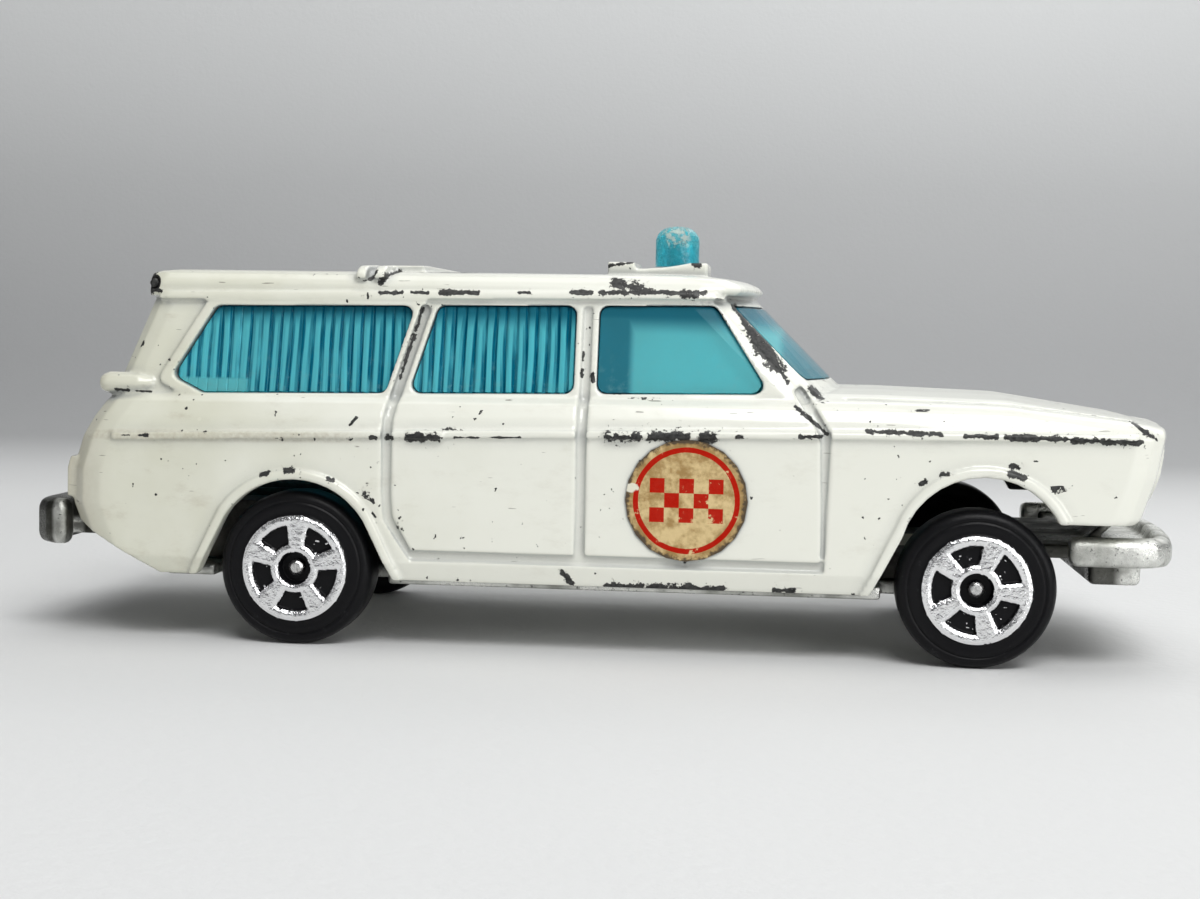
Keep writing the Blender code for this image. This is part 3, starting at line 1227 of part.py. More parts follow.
def floor_tray(plastic):
    rear = REAR_AXLE_X - TRAY_DECK_BEHIND
    front = FRONT_AXLE_X + TRAY_FRONT_AHEAD
    deck, floor = TRAY_DECK_Z + TRAY_THICKNESS, TRAY_FLOOR_Z + TRAY_THICKNESS
    behind_step = TRAY_STEP_X - TRAY_THICKNESS
    stepped = [(rear, TRAY_DECK_Z), (behind_step, TRAY_DECK_Z), (behind_step, TRAY_FLOOR_Z),
               (front, TRAY_FLOOR_Z), (front, floor), (TRAY_STEP_X, floor), (TRAY_STEP_X, deck), (rear, deck)]
    tray = prism(stepped, -TRAY_HALF_WIDTH, TRAY_HALF_WIDTH)
    skirt_z = BASE_TOP_Z + BASE_GAP
    skirt = TRAY_HALF_WIDTH - TRAY_THICKNESS
    union(tray, both_sides((REAR_AXLE_X - TRAY_SKIRT_BEHIND, skirt, skirt_z),
                           (TRAY_STEP_X, TRAY_HALF_WIDTH, TRAY_DECK_Z + TRAY_THICKNESS / 2)))
    union(tray, both_sides((behind_step, skirt, skirt_z),
                           (front, TRAY_HALF_WIDTH, TRAY_FLOOR_Z + TRAY_THICKNESS / 2)))
    card = TRAY_CARD_HALF_WIDTH + TRAY_CARD_THICKNESS
    wide = TRAY_WIDE_HALF_LENGTH
    union(tray, box((-wide, -card, TRAY_FLOOR_Z), (wide, card, floor)))
    long = TRAY_CARD_HALF_LENGTH
    hem = GLASS_HEM_Z - GLASS_GAP
    card_outline = [(-long, TRAY_FLOOR_Z), (long, TRAY_FLOOR_Z), (long, hem + CABIN_SLOPE * long),
                    (-long, hem - CABIN_SLOPE * long)]
    union(tray, prism(card_outline, -card, -TRAY_CARD_HALF_WIDTH),
          prism(card_outline, TRAY_CARD_HALF_WIDTH, card))

    head = TRAY_STEP_X - 2 * TRAY_THICKNESS
    foot = rear + STRETCHER_FOOT_INSET
    buried = TRAY_THICKNESS / 3
    top = deck + STRETCHER_HEIGHT
    union(tray, soft_box((foot, -STRETCHER_HALF_WIDTH, deck - buried),
                         (head, STRETCHER_HALF_WIDTH, top), buried))
    pillow = STRETCHER_HALF_WIDTH - PILLOW_INSET
    union(tray, soft_box((head - PILLOW_LENGTH, -pillow, deck),
                         (head - buried, pillow, top + PILLOW_RISE), buried))
    rail = STRETCHER_HALF_WIDTH + STRETCHER_RAIL
    union(tray, both_sides((foot, rail, deck - buried),
                           (head, rail + STRETCHER_RAIL, deck + STRETCHER_HEIGHT / 2)))

    cut(tray, rod((FRONT_POST_X, 0.0, BASE_Z), (FRONT_POST_X, 0.0, deck), POST_RADIUS + BASE_GAP))
    for x in (REAR_AXLE_X, FRONT_AXLE_X):
        groove = AXLE_RADIUS + RUNNING_GAP
        cut(tray, rod((x, -ROOM, WHEEL_RADIUS), (x, ROOM, WHEEL_RADIUS), groove, POST_SEGMENTS))
    return finish(tray, "floor_tray", plastic)


# Axles, wheels and their foils, each made about Z with the outside up, then laid over

def lay_over(made, x, side):
    """Lays a wheel or its foil over on the chosen side of an axle."""
    made.data.transform(Matrix.Rotation(-side * pi / 2, 4, "X"))
    made.location = (x, side * WHEEL_FACE_Y, WHEEL_RADIUS)


def spoke_windows(margin, depth, phase):
    """The openings between the spokes as one cutter; margin widens each of them."""
    bm = bmesh.new()
    inner, outer = HUB_RING_RADIUS - margin, FOIL_RADIUS - RIM_BAND + margin
    inner_turn = (SPOKE_WIDTH_INNER / 2 - margin) / inner
    outer_turn = (SPOKE_WIDTH_OUTER / 2 - margin) / outer
    step = 2 * pi / SPOKES
    for k in range(SPOKES):
        low, high = phase + k * step, phase + (k + 1) * step
        outline = []
        for i in range(2):
            turn = low + inner_turn + (step - 2 * inner_turn) * i
            outline.append((inner * cos(turn), inner * sin(turn)))
        for i in range(4):
            turn = high - outer_turn - (step - 2 * outer_turn) * i / 3
            outline.append((outer * cos(turn), outer * sin(turn)))
        rings = [[bm.verts.new((x, y, z)) for x, y in outline] for z in (-depth, WHEEL_WIDTH)]
        close_loft(bm, rings)
    return add_object("spoke_windows", bm)


def wheel(name, plastic, x, side, phase):
    bore = AXLE_RADIUS + RUNNING_GAP
    back, recess, wall = -WHEEL_WIDTH, WHEEL_BACK_RECESS - WHEEL_WIDTH, -SPOKE_RELIEF / 2
    bead, tread = WHEEL_RADIUS - TYRE_SHOULDER, WHEEL_RADIUS
    profile = [(bore, -HUB_HOLE_DEPTH), (HUB_HOLE_RADIUS, -HUB_HOLE_DEPTH), (HUB_HOLE_RADIUS, 0.0),
               (FOIL_RADIUS, 0.0), (FOIL_RADIUS, wall), (bead, wall), (tread, wall - TYRE_SHOULDER),
               (tread, back + TYRE_SHOULDER), (bead, back), (FOIL_RADIUS, back), (FOIL_RADIUS, recess),
               (HUB_BOSS_RADIUS, recess), (HUB_BOSS_RADIUS, back), (bore, back), (bore, -HUB_HOLE_DEPTH)]
    made = cut(turned(profile, name), spoke_windows(0.0, SPOKE_RELIEF, phase))
    lay_over(made, x, side)
    return finish(made, name, plastic, SMOOTH_ANGLE)


def foil(name, bright, x, side, phase):
    """Bright foil on the raised rim, spokes and hub ring of a wheel."""
    made = rod((0.0, 0.0, FOIL_GAP), (0.0, 0.0, FOIL_GAP + FOIL_THICKNESS), FOIL_RADIUS - FOIL_MARGIN)
    cut(made, spoke_windows(FOIL_MARGIN, WHEEL_WIDTH, phase))
    hole = HUB_HOLE_RADIUS + FOIL_MARGIN
    cut(made, rod((0.0, 0.0, -WHEEL_WIDTH), (0.0, 0.0, WHEEL_WIDTH), hole, POST_SEGMENTS))
    lay_over(made, x, side)
    return finish(made, name, bright)


def axle(name, steel, x):
    """A wire through both wheels, with a domed head in each hub recess."""
    seat = WHEEL_FACE_Y - HUB_HOLE_DEPTH + RUNNING_GAP
    end = seat + AXLE_HEAD_LENGTH
    dome = AXLE_HEAD_LENGTH / 3
    half = [(AXLE_RADIUS, seat), (AXLE_HEAD_RADIUS, seat), (AXLE_HEAD_RADIUS, end - dome),
            (AXLE_RADIUS, end), (0.0, end)]
    profile = [(radius, -height) for radius, height in reversed(half)] + half
    made = turned(profile, name, PIN_SEGMENTS)
    made.data.transform(Matrix.Rotation(pi / 2, 4, "X"))
    made.location = (x, 0.0, WHEEL_RADIUS)
    return finish(made, name, steel, SMOOTH_ANGLE)


def door_label(name, paper, side):
    label = cut(lower_body(LABEL_GAP + LABEL_THICKNESS), lower_body(LABEL_GAP))
    near, far = side * BODY_HALF_WIDTH / 2, side * ROOM
    common(label, rod((LABEL_X, near, LABEL_Z), (LABEL_X, far, LABEL_Z), LABEL_RADIUS))
    return finish(label, name, paper)


# The whole car

def car():
    collection = clear_scene()
    enamel = material("cream_enamel", (0.78, 0.76, 0.68), 0.35)
    zinc = material("bare_zinc", (0.52, 0.53, 0.54), 0.4, metallic=1.0)
    blue = material("blue_clear_plastic", (0.16, 0.48, 0.55), 0.12, transmission=0.7)
    lamp_blue = material("deep_blue_plastic", (0.05, 0.2, 0.5), 0.12, transmission=0.5)
    black = material("black_plastic", (0.02, 0.02, 0.022), 0.45)
    bright = material("bright_foil", (0.85, 0.85, 0.86), 0.15, metallic=1.0)
    steel = material("steel_wire", (0.6, 0.6, 0.6), 0.3, metallic=1.0)
    ivory = material("ivory_plastic", (0.75, 0.72, 0.62), 0.5)
    paper = material("label_paper", (0.72, 0.66, 0.52), 0.7)

    body_shell(enamel)
    tailgate(enamel)
    base_plate(zinc)
    window_glazing(blue)
    roof_beacon(lamp_blue)
    floor_tray(ivory)
    for end, x in (("front", FRONT_AXLE_X), ("rear", REAR_AXLE_X)):
        axle(f"{end}_axle", steel, x)
        for hand, side in (("right", -1), ("left", 1)):
            phase = WHEEL_PHASES[end, hand]
            wheel(f"{end}_{hand}_wheel", black, x, side, phase)
            foil(f"{end}_{hand}_foil", bright, x, side, phase)
    for hand, side in (("right", -1), ("left", 1)):
        door_label(f"door_label_{hand}", paper, side)

    shift = (REAR_REACH - FRONT_REACH) / 2
    for made in collection.objects:
        made.location.x += shift


car()
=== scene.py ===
"""A die-cast toy ambulance on a station wagon body, dressed as an old, played-with example.

Metres, +X to the nose, +Y to the car's left, +Z up. The file follows the toy from its base casting up.
"""

import json
from math import cos, pi, radians, sin

import bmesh
import bpy
from mathutils import Matrix, Vector, noise


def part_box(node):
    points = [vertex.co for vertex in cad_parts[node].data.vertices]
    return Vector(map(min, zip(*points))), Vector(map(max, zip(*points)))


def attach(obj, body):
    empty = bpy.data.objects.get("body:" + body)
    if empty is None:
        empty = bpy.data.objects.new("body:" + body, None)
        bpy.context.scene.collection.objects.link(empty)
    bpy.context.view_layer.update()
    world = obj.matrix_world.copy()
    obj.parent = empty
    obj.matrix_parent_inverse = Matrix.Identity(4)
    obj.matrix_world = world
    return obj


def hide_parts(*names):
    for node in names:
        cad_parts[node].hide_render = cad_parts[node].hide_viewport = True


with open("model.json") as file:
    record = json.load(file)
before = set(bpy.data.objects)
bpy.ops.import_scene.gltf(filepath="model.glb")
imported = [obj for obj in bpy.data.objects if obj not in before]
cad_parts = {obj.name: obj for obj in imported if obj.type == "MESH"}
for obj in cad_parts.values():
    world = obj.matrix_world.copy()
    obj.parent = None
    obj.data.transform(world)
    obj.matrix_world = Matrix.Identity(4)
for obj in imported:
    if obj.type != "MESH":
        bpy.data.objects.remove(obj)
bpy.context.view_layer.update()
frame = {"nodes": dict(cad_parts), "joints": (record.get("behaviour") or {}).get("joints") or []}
nodes = frame["nodes"]
MM = 0.001


# Base casting
# One bare zinc casting closes the car from below and carries both bumpers and the nose panel.
# It is left as it came from the die, tumbled, and has gone dull and blotched in use. Painted shade darkens
# its creases and the hollow under the front wings, and the rear bumper has a painted dark reflection and
# highlight.

class Wire:
    """A shader socket that Python maths works on: each operator adds a Math node to its finish."""

    def __init__(self, finish, socket):
        self.finish = finish
        self.socket = socket

    def math(self, operation, *others):
        return self.finish.add("ShaderNodeMath", {"operation": operation}, (self, *others))

    def __add__(self, other):
        return self.math("ADD", other)

    def __sub__(self, other):
        return self.math("SUBTRACT", other)

    def __rsub__(self, other):
        return self.finish.add("ShaderNodeMath", {"operation": "SUBTRACT"}, (other, self))

    def __mul__(self, other):
        return self.math("MULTIPLY", other)

    def __truediv__(self, other):
        return self.math("DIVIDE", other)

    def __gt__(self, other):
        return self.math("GREATER_THAN", other)

    def __lt__(self, other):
        return self.math("LESS_THAN", other)

    def __abs__(self):
        return self.math("ABSOLUTE")

    __radd__, __rmul__ = __add__, __mul__

    def between(self, start, end):
        """0 below start, 1 above end, and a smooth climb between; a fall where start is above end."""
        return self.finish.add("ShaderNodeMapRange", {"interpolation_type": "SMOOTHSTEP"},
                               {"Value": self, "From Min": start, "From Max": end})


class Finish:
    """A procedural finish under way: a material, its shader, and the nodes that feed it."""

    def __init__(self, name, constants):
        self.material = bpy.data.materials.new(name)
        self.material.use_nodes = True
        self.tree = self.material.node_tree
        self.shader = self.tree.nodes["Principled BSDF"]
        for socket, value in constants.items():
            self.plug(self.shader.inputs[socket], value)
        self.place = None

    def plug(self, socket, value):
        if isinstance(value, Wire):
            self.tree.links.new(value.socket, socket)
        elif socket.type == "RGBA":
            socket.default_value = (*value, 1.0)
        else:
            socket.default_value = value

    def add(self, kind, settings, sockets, output=0):
        node = self.tree.nodes.new(kind)
        for name, value in settings.items():
            setattr(node, name, value)
        named = sockets.items() if isinstance(sockets, dict) else enumerate(sockets)
        for key, value in named:
            self.plug(node.inputs[key], value)
        return Wire(self, node.outputs[output])

    def feed(self, **wires):
        for name, wire in wires.items():
            self.plug(self.shader.inputs[name.replace("_", " ").title()], wire)

    def where(self):
        """The place on the piece, in millimetres."""
        if self.place is None:
            metres = self.add("ShaderNodeTexCoord", {}, {}, "Object")
            self.place = self.add("ShaderNodeVectorMath", {"operation": "SCALE"},
                                  {0: metres, "Scale": 1 / MM})
        return self.place

    def axes(self):
        return [self.add("ShaderNodeSeparateXYZ", {}, (self.where(),), i) for i in range(3)]

    def stretched(self, x, y, z):
        return self.add("ShaderNodeVectorMath", {"operation": "MULTIPLY"}, (self.where(), (x, y, z)))

    def grain(self, scale, detail=3.0, roughness=0.55, place=None):
        """Noise of about 0 to 1, with scale in lumps per millimetre."""
        return self.add("ShaderNodeTexNoise", {}, {"Vector": place or self.where(), "Scale": scale,
                                                   "Detail": detail, "Roughness": roughness})

    def tint(self, share, first, second):
        return self.add("ShaderNodeMix", {"data_type": "RGBA"}, {0: share, 6: first, 7: second}, 2)

    def relief(self, height, depth, under=None):
        """A bump whose height runs from 0 to depth in metres."""
        sockets = {"Height": height, "Distance": depth, "Strength": 1.0}
        if under:
            sockets["Normal"] = under
        return self.add("ShaderNodeBump", {}, sockets)

    def soft_edges(self, radius):
        """The surface normal as it would be with its edges rounded off."""
        return self.add("ShaderNodeBevel", {"samples": 6}, {"Radius": radius})

    def turn_at_edges(self, radius):
        """How far the rounded normal leans from the true one: 0 on the flat, more at an edge."""
        true = self.add("ShaderNodeNewGeometry", {}, {}, "Normal")
        lean = self.add("ShaderNodeVectorMath", {"operation": "DOT_PRODUCT"},
                        (self.soft_edges(radius), true), "Value")
        return 1.0 - lean

    def nearness(self, distance):
        """1 on an open face, less in a crease."""
        return self.add("ShaderNodeAmbientOcclusion", {"samples": 6}, {"Distance": distance}, "AO")


def strongest(mask, *others):
    """The greatest of several masks at each place."""
    for other in others:
        mask = mask.math("MAXIMUM", other)
    return mask


def coat(piece, finish):
    piece.data.materials.clear()
    piece.data.materials.append(finish.material)


def round_off(piece, cell, passes, kept):
    """Rounds every edge of a casting: a fine even mesh, smoothed, then thinned to a share of its faces."""
    even = piece.modifiers.new("even_mesh", "REMESH")
    even.mode = "VOXEL"
    even.voxel_size = cell
    even.use_smooth_shade = True
    soft = piece.modifiers.new("soft_edges", "SMOOTH")
    soft.factor = 0.5
    soft.iterations = passes
    thin = piece.modifiers.new("fewer_faces", "DECIMATE")
    thin.ratio = kept


REAR_HIGHLIGHT_X = -36.2
REAR_DARK_REFLECTION_X = -32.5, -34.0
WING_SHADE_HALF = 11.8
WING_SHADE_START = 20.0, 24.0
WING_SHADE_END = 34.4, 33.6
zinc = Finish("bare_zinc", {"Metallic": 1.0, "Specular IOR Level": 0.5})
blotch = zinc.grain(0.35, 4.0)
pits = zinc.grain(3.2, 5.0, 0.7)
bands = zinc.grain(1.0, 2.0, 0.5, zinc.stretched(0.25, 1.6, 0.25))
crease = zinc.nearness(0.9 * MM)
stain = (blotch * 0.7 + bands * 0.3).between(0.42, 0.64)
bright = zinc.tint(stain, (0.8, 0.805, 0.765), (0.36, 0.365, 0.335))
x, y, z = zinc.axes()
# The rear bumper's ends carry a painted dark reflection, with a painted highlight band left bright down its
# middle.
highlight_band = abs(x - REAR_HIGHLIGHT_X).between(0.65, 0.25) * (0.4 + pits)
# Painted shade, nearly black, on the apron in the hollow under the front wings.
wing_shade = (abs(y) < WING_SHADE_HALF) * x.between(*WING_SHADE_START) * x.between(*WING_SHADE_END) * 0.9
dark_reflection = x.between(*REAR_DARK_REFLECTION_X) * (0.75 + blotch * 0.5) * (1.0 - highlight_band)
# Painted shade in the creases, joined with the painted shade under the wings and the painted dark reflection
# on the rear bumper.
shade_and_dark_reflection = strongest(crease.between(0.85, 0.35), dark_reflection, wing_shade)
shaded_zinc = zinc.tint(shade_and_dark_reflection, bright, (0.05, 0.05, 0.042))
zinc.feed(base_color=zinc.tint(pits.between(0.58, 0.68), shaded_zinc, (0.07, 0.072, 0.064)),
          roughness=0.2 + stain * 0.22 + pits * 0.14,
          normal=zinc.relief(pits * 0.6 + blotch * 0.4, 0.13 * MM))
coat(nodes["base_plate"], zinc)
round_off(nodes["base_plate"], 0.14 * MM, 8, 0.35)


# Axles
# Two drawn steel wires lie in grooves of the base, with a head formed on each end.
# Only the heads show, bright in the middle of the hubs.

steel = Finish("drawn_steel_wire", {"Metallic": 1.0})
drawn = steel.grain(4.0, 3.0, 0.6, steel.stretched(1.0, 0.15, 1.0))
steel.feed(base_color=steel.tint(drawn.between(0.45, 0.75), (0.7, 0.7, 0.69), (0.3, 0.29, 0.28)),
           roughness=0.18 + drawn * 0.2,
           normal=steel.relief(drawn, 0.02 * MM, steel.soft_edges(0.12 * MM)))
for name in ("front_axle", "rear_axle"):
    coat(nodes[name], steel)


# Wheels
# Each wheel is one black polystyrene moulding: a hard tyre with a stepped wall, and a five-spoke
# face whose spokes, rim and hub ring stand proud. The play side is scuffed at the shoulders.

SPOKES = 5
SPOKE_ROOT = 0.49
SPOKE_FLARE = 0.21
BORE = 0.4
HUB_HOLE = 1.08
HUB_RING = 1.6
RIM_INNER = 2.88
RIM_OUTER = 3.5
TYRE = 5.12
SPOKE_RELIEF = 0.38
CROWN = 0.1
HUB_DEPTH = 0.9
STEPS_ROUND = 240
WHEEL_BODIES = {"front_right_wheel": -0.05, "front_left_wheel": 0.4,
                "rear_right_wheel": 0.25, "rear_left_wheel": 0.9}


def smooth(value, start, end):
    share = min(1.0, max(0.0, (value - start) / (end - start)))
    return share * share * (3 - 2 * share)


def wheel_face(r, turn, phase):
    """Height of the moulded face in millimetres, with 0 on the crowns of spokes, rim and hub ring."""
    step = 2 * pi / SPOKES
    off = (turn - phase + step / 2) % step - step / 2
    half_spoke = SPOKE_ROOT + SPOKE_FLARE * (r - HUB_RING) / (RIM_INNER - HUB_RING)
    into_window = min(r * abs(off) - half_spoke, r - HUB_RING, RIM_INNER - r)
    into_land = min(max(-into_window, 0.0), r - HUB_HOLE, RIM_OUTER - r)
    height = -CROWN * (1 - smooth(into_land, -0.02, 0.26))
    height -= (SPOKE_RELIEF - CROWN) * smooth(into_window, -0.02, 0.12)
    height -= HUB_DEPTH * smooth(HUB_HOLE - r, -0.02, 0.07)
    return height


def lay_wheel(name, points, faces, node):
    """Turns a mesh made about Z, in millimetres, onto a wheel's axis with its face outward."""
    low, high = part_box(node)
    side = 1 if low.y > 0 else -1
    mesh = bpy.data.meshes.new(name)
    mesh.from_pydata(points, [], faces)
    mesh.transform(Matrix.Diagonal((MM, MM, MM, 1.0)))
    mesh.transform(Matrix.Rotation(-side * pi / 2, 4, "X"))
    outer = high.y if side > 0 else low.y
    mesh.transform(Matrix.Translation(((low.x + high.x) / 2, outer, (low.z + high.z) / 2)))
    bm = bmesh.new()
    bm.from_mesh(mesh)
    bmesh.ops.recalc_face_normals(bm, faces=bm.faces)
    bm.to_mesh(mesh)
    bm.free()
    mesh.shade_smooth()
    piece = bpy.data.objects.new(name, mesh)
    bpy.context.scene.collection.objects.link(piece)
    return piece


def wheel_mesh(phase):
    """The face as a fine round grid, carried on down the tyre's wall, tread and back.

    The tyre's outline is given as radius and height, from the rim round to the bore.
    """
    face = [BORE + 0.05 * i for i in range(62)] + [RIM_OUTER - 0.01]
    wall = [(3.53, -0.06), (3.55, -0.17), (3.62, -0.2), (3.9, -0.15), (4.2, -0.14), (4.32, -0.16),
            (4.36, -0.24), (4.42, -0.25), (4.46, -0.18), (4.6, -0.2), (4.8, -0.29), (4.96, -0.44),
            (5.06, -0.64), (5.11, -0.9), (TYRE, -1.3), (TYRE, -2.4), (5.1, -2.8), (5.02, -3.1),
            (4.85, -3.35), (4.6, -3.55), (4.4, -3.6), (3.5, -3.6), (3.45, -2.6), (1.35, -2.5),
            (1.3, -3.55), (BORE, -3.6)]
    points, faces = [], []
    rings = [(r, None) for r in face] + wall
    for r, height in rings:
        for i in range(STEPS_ROUND):
            turn = 2 * pi * i / STEPS_ROUND
            z = wheel_face(r, turn, phase) if height is None else height
            points.append((r * cos(turn), r * sin(turn), z))
    for k in range(len(rings)):
        far = (k + 1) % len(rings) * STEPS_ROUND
        for i in range(STEPS_ROUND):
            j = (i + 1) % STEPS_ROUND
            faces.append((k * STEPS_ROUND + i, k * STEPS_ROUND + j, far + j, far + i))
    return points, faces


black = Finish("black_wheel_plastic", {"Specular IOR Level": 0.16, "IOR": 1.5})
fine = black.grain(5.0, 4.0, 0.6)
scuff = black.grain(1.1, 5.0, 0.72)
worn_edge = black.turn_at_edges(0.25 * MM)
scuffed = (scuff + worn_edge * 0.6).between(0.62, 0.8)
black.feed(base_color=black.tint(scuffed, (0.0045, 0.0045, 0.0055), (0.04, 0.04, 0.042)),
           roughness=0.3 + fine * 0.12 + scuffed * 0.2,
           normal=black.relief(fine * 0.35 + scuff * 0.65, 0.04 * MM))
for node, phase in WHEEL_BODIES.items():
    tyre = lay_wheel(node.replace("wheel", "tyre"), *wheel_mesh(phase), node)
    coat(tyre, black)
    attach(tyre, node)
    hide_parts(node)


# Wheel foils
# Bright foil is hot stamped onto the raised face of each wheel. It tears at the edges, so its outline
# is ragged, and shreds of it cling to the walls of the spoke windows.

def foil_mesh(phase, seed):
    """The cells of the round grid that the stamp left foil on, lying just proud of the plastic."""
    radii = [HUB_HOLE - 0.06 + 0.045 * i for i in range(59)]
    rows = []
    for r in radii:
        row = []
        for i in range(STEPS_ROUND):
            turn = 2 * pi * i / STEPS_ROUND
            spot = Vector((r * cos(turn), r * sin(turn), seed))
            tear = noise.noise(spot * 3.1) * 0.7 + noise.noise(spot * 8.0) * 0.45
            drop = wheel_face(min(max(r, HUB_HOLE + 0.03), RIM_OUTER - 0.02), turn, phase)
            edge = min(r - HUB_HOLE, RIM_OUTER + 0.02 - r) + 0.07 * tear
            shred = tear > (0.2 if drop > 0.01 - SPOKE_RELIEF else 0.42)
            kept = edge > 0 and (drop > -0.2 - 0.2 * tear or shred)
            curl = 0.0 if r < RIM_OUTER else -0.5 * (r - RIM_OUTER)
            row.append(((spot.x, spot.y, drop + curl + 0.03), kept))
        rows.append(row)
    points, faces, index = [], [], {}
    for k in range(len(rows) - 1):
        for i in range(STEPS_ROUND):
            j = (i + 1) % STEPS_ROUND
            cell = ((k, i), (k, j), (k + 1, j), (k + 1, i))
            if sum(rows[a][b][1] for a, b in cell) < 3:
                continue
            for corner in cell:
                if corner not in index:
                    index[corner] = len(points)
                    points.append(rows[corner[0]][corner[1]][0])
            faces.append(tuple(index[corner] for corner in cell))
    return points, faces


foil = Finish("hot_stamped_foil", {"Metallic": 1.0})
crinkle = foil.grain(2.2, 4.0, 0.6)
scratch = foil.grain(2.0, 4.0, 0.6, foil.stretched(1.0, 1.0, 5.0))
rubbed = scratch.between(0.65, 0.8)
foil.feed(base_color=foil.tint(rubbed, (0.93, 0.93, 0.94), (0.45, 0.45, 0.46)),
          roughness=0.1 + crinkle * 0.12 + rubbed * 0.3,
          normal=foil.relief(crinkle, 0.11 * MM))
for seed, (node, phase) in enumerate(WHEEL_BODIES.items()):
    stamped = node.replace("wheel", "foil")
    leaf = lay_wheel(stamped.replace("foil", "leaf"), *foil_mesh(phase, 7.3 * seed), node)
    coat(leaf, foil)
    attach(leaf, node)
    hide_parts(stamped)


# Floor tray
# A pale polystyrene moulding, clamped between body and base, is the floor, the door cards and the
# stretcher in one. It is matt from the tool, with painted shade in its corners and black painted shade
# beside the tyres.

TYRE_SHADE_TOP = 12.9, 11.7
TYRE_SHADE_INNER = 3.9
TYRE_SHADE_ROUND_AXLE = 8.0, 6.0


def corners(node):
    """A node's lowest and highest corner in millimetres."""
    return [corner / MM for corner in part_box(node)]


front_hub, rear_hub = (sum(corners(name), Vector()) / 2 for name in ("front_axle", "rear_axle"))
ivory = Finish("ivory_plastic", {"Specular IOR Level": 0.4})
speckle = ivory.grain(2.5, 4.0)
# Painted shade darkens the tray toward brown in its corners and creases.
corner_shade = ivory.nearness(1.6 * MM).between(0.9, 0.35)
x, y, z = ivory.axes()
off_axle = abs(x - front_hub.x).math("MINIMUM", abs(x - rear_hub.x))
# Painted shade, nearly black, on the faces beside the tyres, where the wheel arches are unlit.
beside_tyres = off_axle.between(*TYRE_SHADE_ROUND_AXLE) * (abs(y) > TYRE_SHADE_INNER)
tyre_shade = beside_tyres * z.between(*TYRE_SHADE_TOP) * (0.85 + speckle * 0.15)
# The ivory, darkened toward brown by the painted shade in its corners.
darkened = ivory.tint(corner_shade * (0.5 + speckle * 0.5), (0.72, 0.68, 0.57), (0.3, 0.26, 0.2))
ivory.feed(base_color=ivory.tint(tyre_shade, darkened, (0.012, 0.012, 0.012)),
           roughness=0.5 + speckle * 0.2,
           normal=ivory.relief(speckle, 0.05 * MM, ivory.soft_edges(0.12 * MM)))
coat(nodes["floor_tray"], ivory)


# Glazing
# All the side panes and the windscreen are one clear blue moulding pressed up inside the body, with
# curtain pleats moulded into the panes behind the front doors. Painted shade deepens its blue in the
# pleats' furrows, across the tops of the panes, beside the pillar behind the front doors and over the
# windscreen.

PLEAT_PITCH = 0.69
PLEAT_START = -28.6
PLEAT_END = -0.8
PANE_INNER = 7.0
PANE_TOP_SHADE = 20.9, 22.3
HAZE_FADE = 21.0, 16.0
PILLAR_SHADE_END = 2.5, 1.9
SCREEN_SHADE_START = 11.6, 12.4
PATCH_END = -23.15, -23.65
PATCH_TOP = 17.67, 17.43
aqua = Finish("clear_blue_plastic", {"Transmission Weight": 0.55, "IOR": 1.14, "Specular IOR Level": 0.3})
x, y, z = aqua.axes()
ripple = aqua.grain(0.5, 3.0, 0.5)
haze = aqua.grain(1.6, 5.0, 0.65)
drift = (aqua.grain(0.25, 2.0, 0.5, aqua.stretched(1.0, 1.0, 0.0)) - 0.5) * 0.5
fold = ((x - PLEAT_START + drift) * (2 * pi / PLEAT_PITCH)).math("COSINE") * 0.5 + 0.5
patch = x.between(*PATCH_END) * z.between(*PATCH_TOP)
curtain = (x < PLEAT_END) * (abs(y) > PANE_INNER) * (1.0 - patch)
crimp = ((x - PLEAT_START + drift * 3.0) * (5 * pi / PLEAT_PITCH)).math("COSINE") * 0.5 + 0.5
uneven = aqua.grain(1.1, 2.0, 0.5, aqua.stretched(1.0, 1.0, 0.12))
furrow = ((1.0 - fold) * 0.75 + (1.0 - crimp) * 0.35).between(0.25, 0.9)
# Painted shade deepens the blue in the furrows of the pleats.
fold_shade = curtain * furrow * uneven.between(0.1, 0.55)
# Painted shade: a band across the panes' tops, a band beside the pillar behind the front doors, and the
# windscreen.
top_shade = z.between(*PANE_TOP_SHADE) * 0.85
pillar_shade = x.between(*PILLAR_SHADE_END) * (1.0 - curtain) * (x > PLEAT_END) * 0.75
screen_shade = x.between(*SCREEN_SHADE_START) * 0.7
pane = aqua.tint(curtain, (0.2, 0.76, 0.82), (0.17, 0.84, 0.95))
shaded_pane = aqua.tint(strongest(fold_shade, top_shade, pillar_shade, screen_shade), pane, (0.003, 0.17, 0.28))
hazed = haze.between(0.5, 0.8)
aqua.feed(base_color=aqua.tint(hazed * z.between(*HAZE_FADE) * 0.5, shaded_pane, (0.32, 0.68, 0.7)),
          roughness=0.07 + hazed * 0.2,
          normal=aqua.relief(ripple * 0.3 + haze * 0.15 + curtain * fold * 0.55, 0.08 * MM))
coat(nodes["window_glazing"], aqua)


# Body casting
# Roof, pillars, doors, wings and bonnet are one thin zinc casting, sprayed with thick cream-white enamel.
# Play has chipped the enamel off its ridges, down to dark metal, and grime sits in its deepest creases.
# Painted shade greys its creases and darkens its inner walls and its tail.

enamel = Finish("cream_enamel", {"Specular IOR Level": 0.5, "IOR": 1.52, "Coat Roughness": 0.06})
x, y, z = enamel.axes()
side_on = enamel.add("ShaderNodeCombineXYZ", {}, {"X": x, "Z": z})
strokes = []


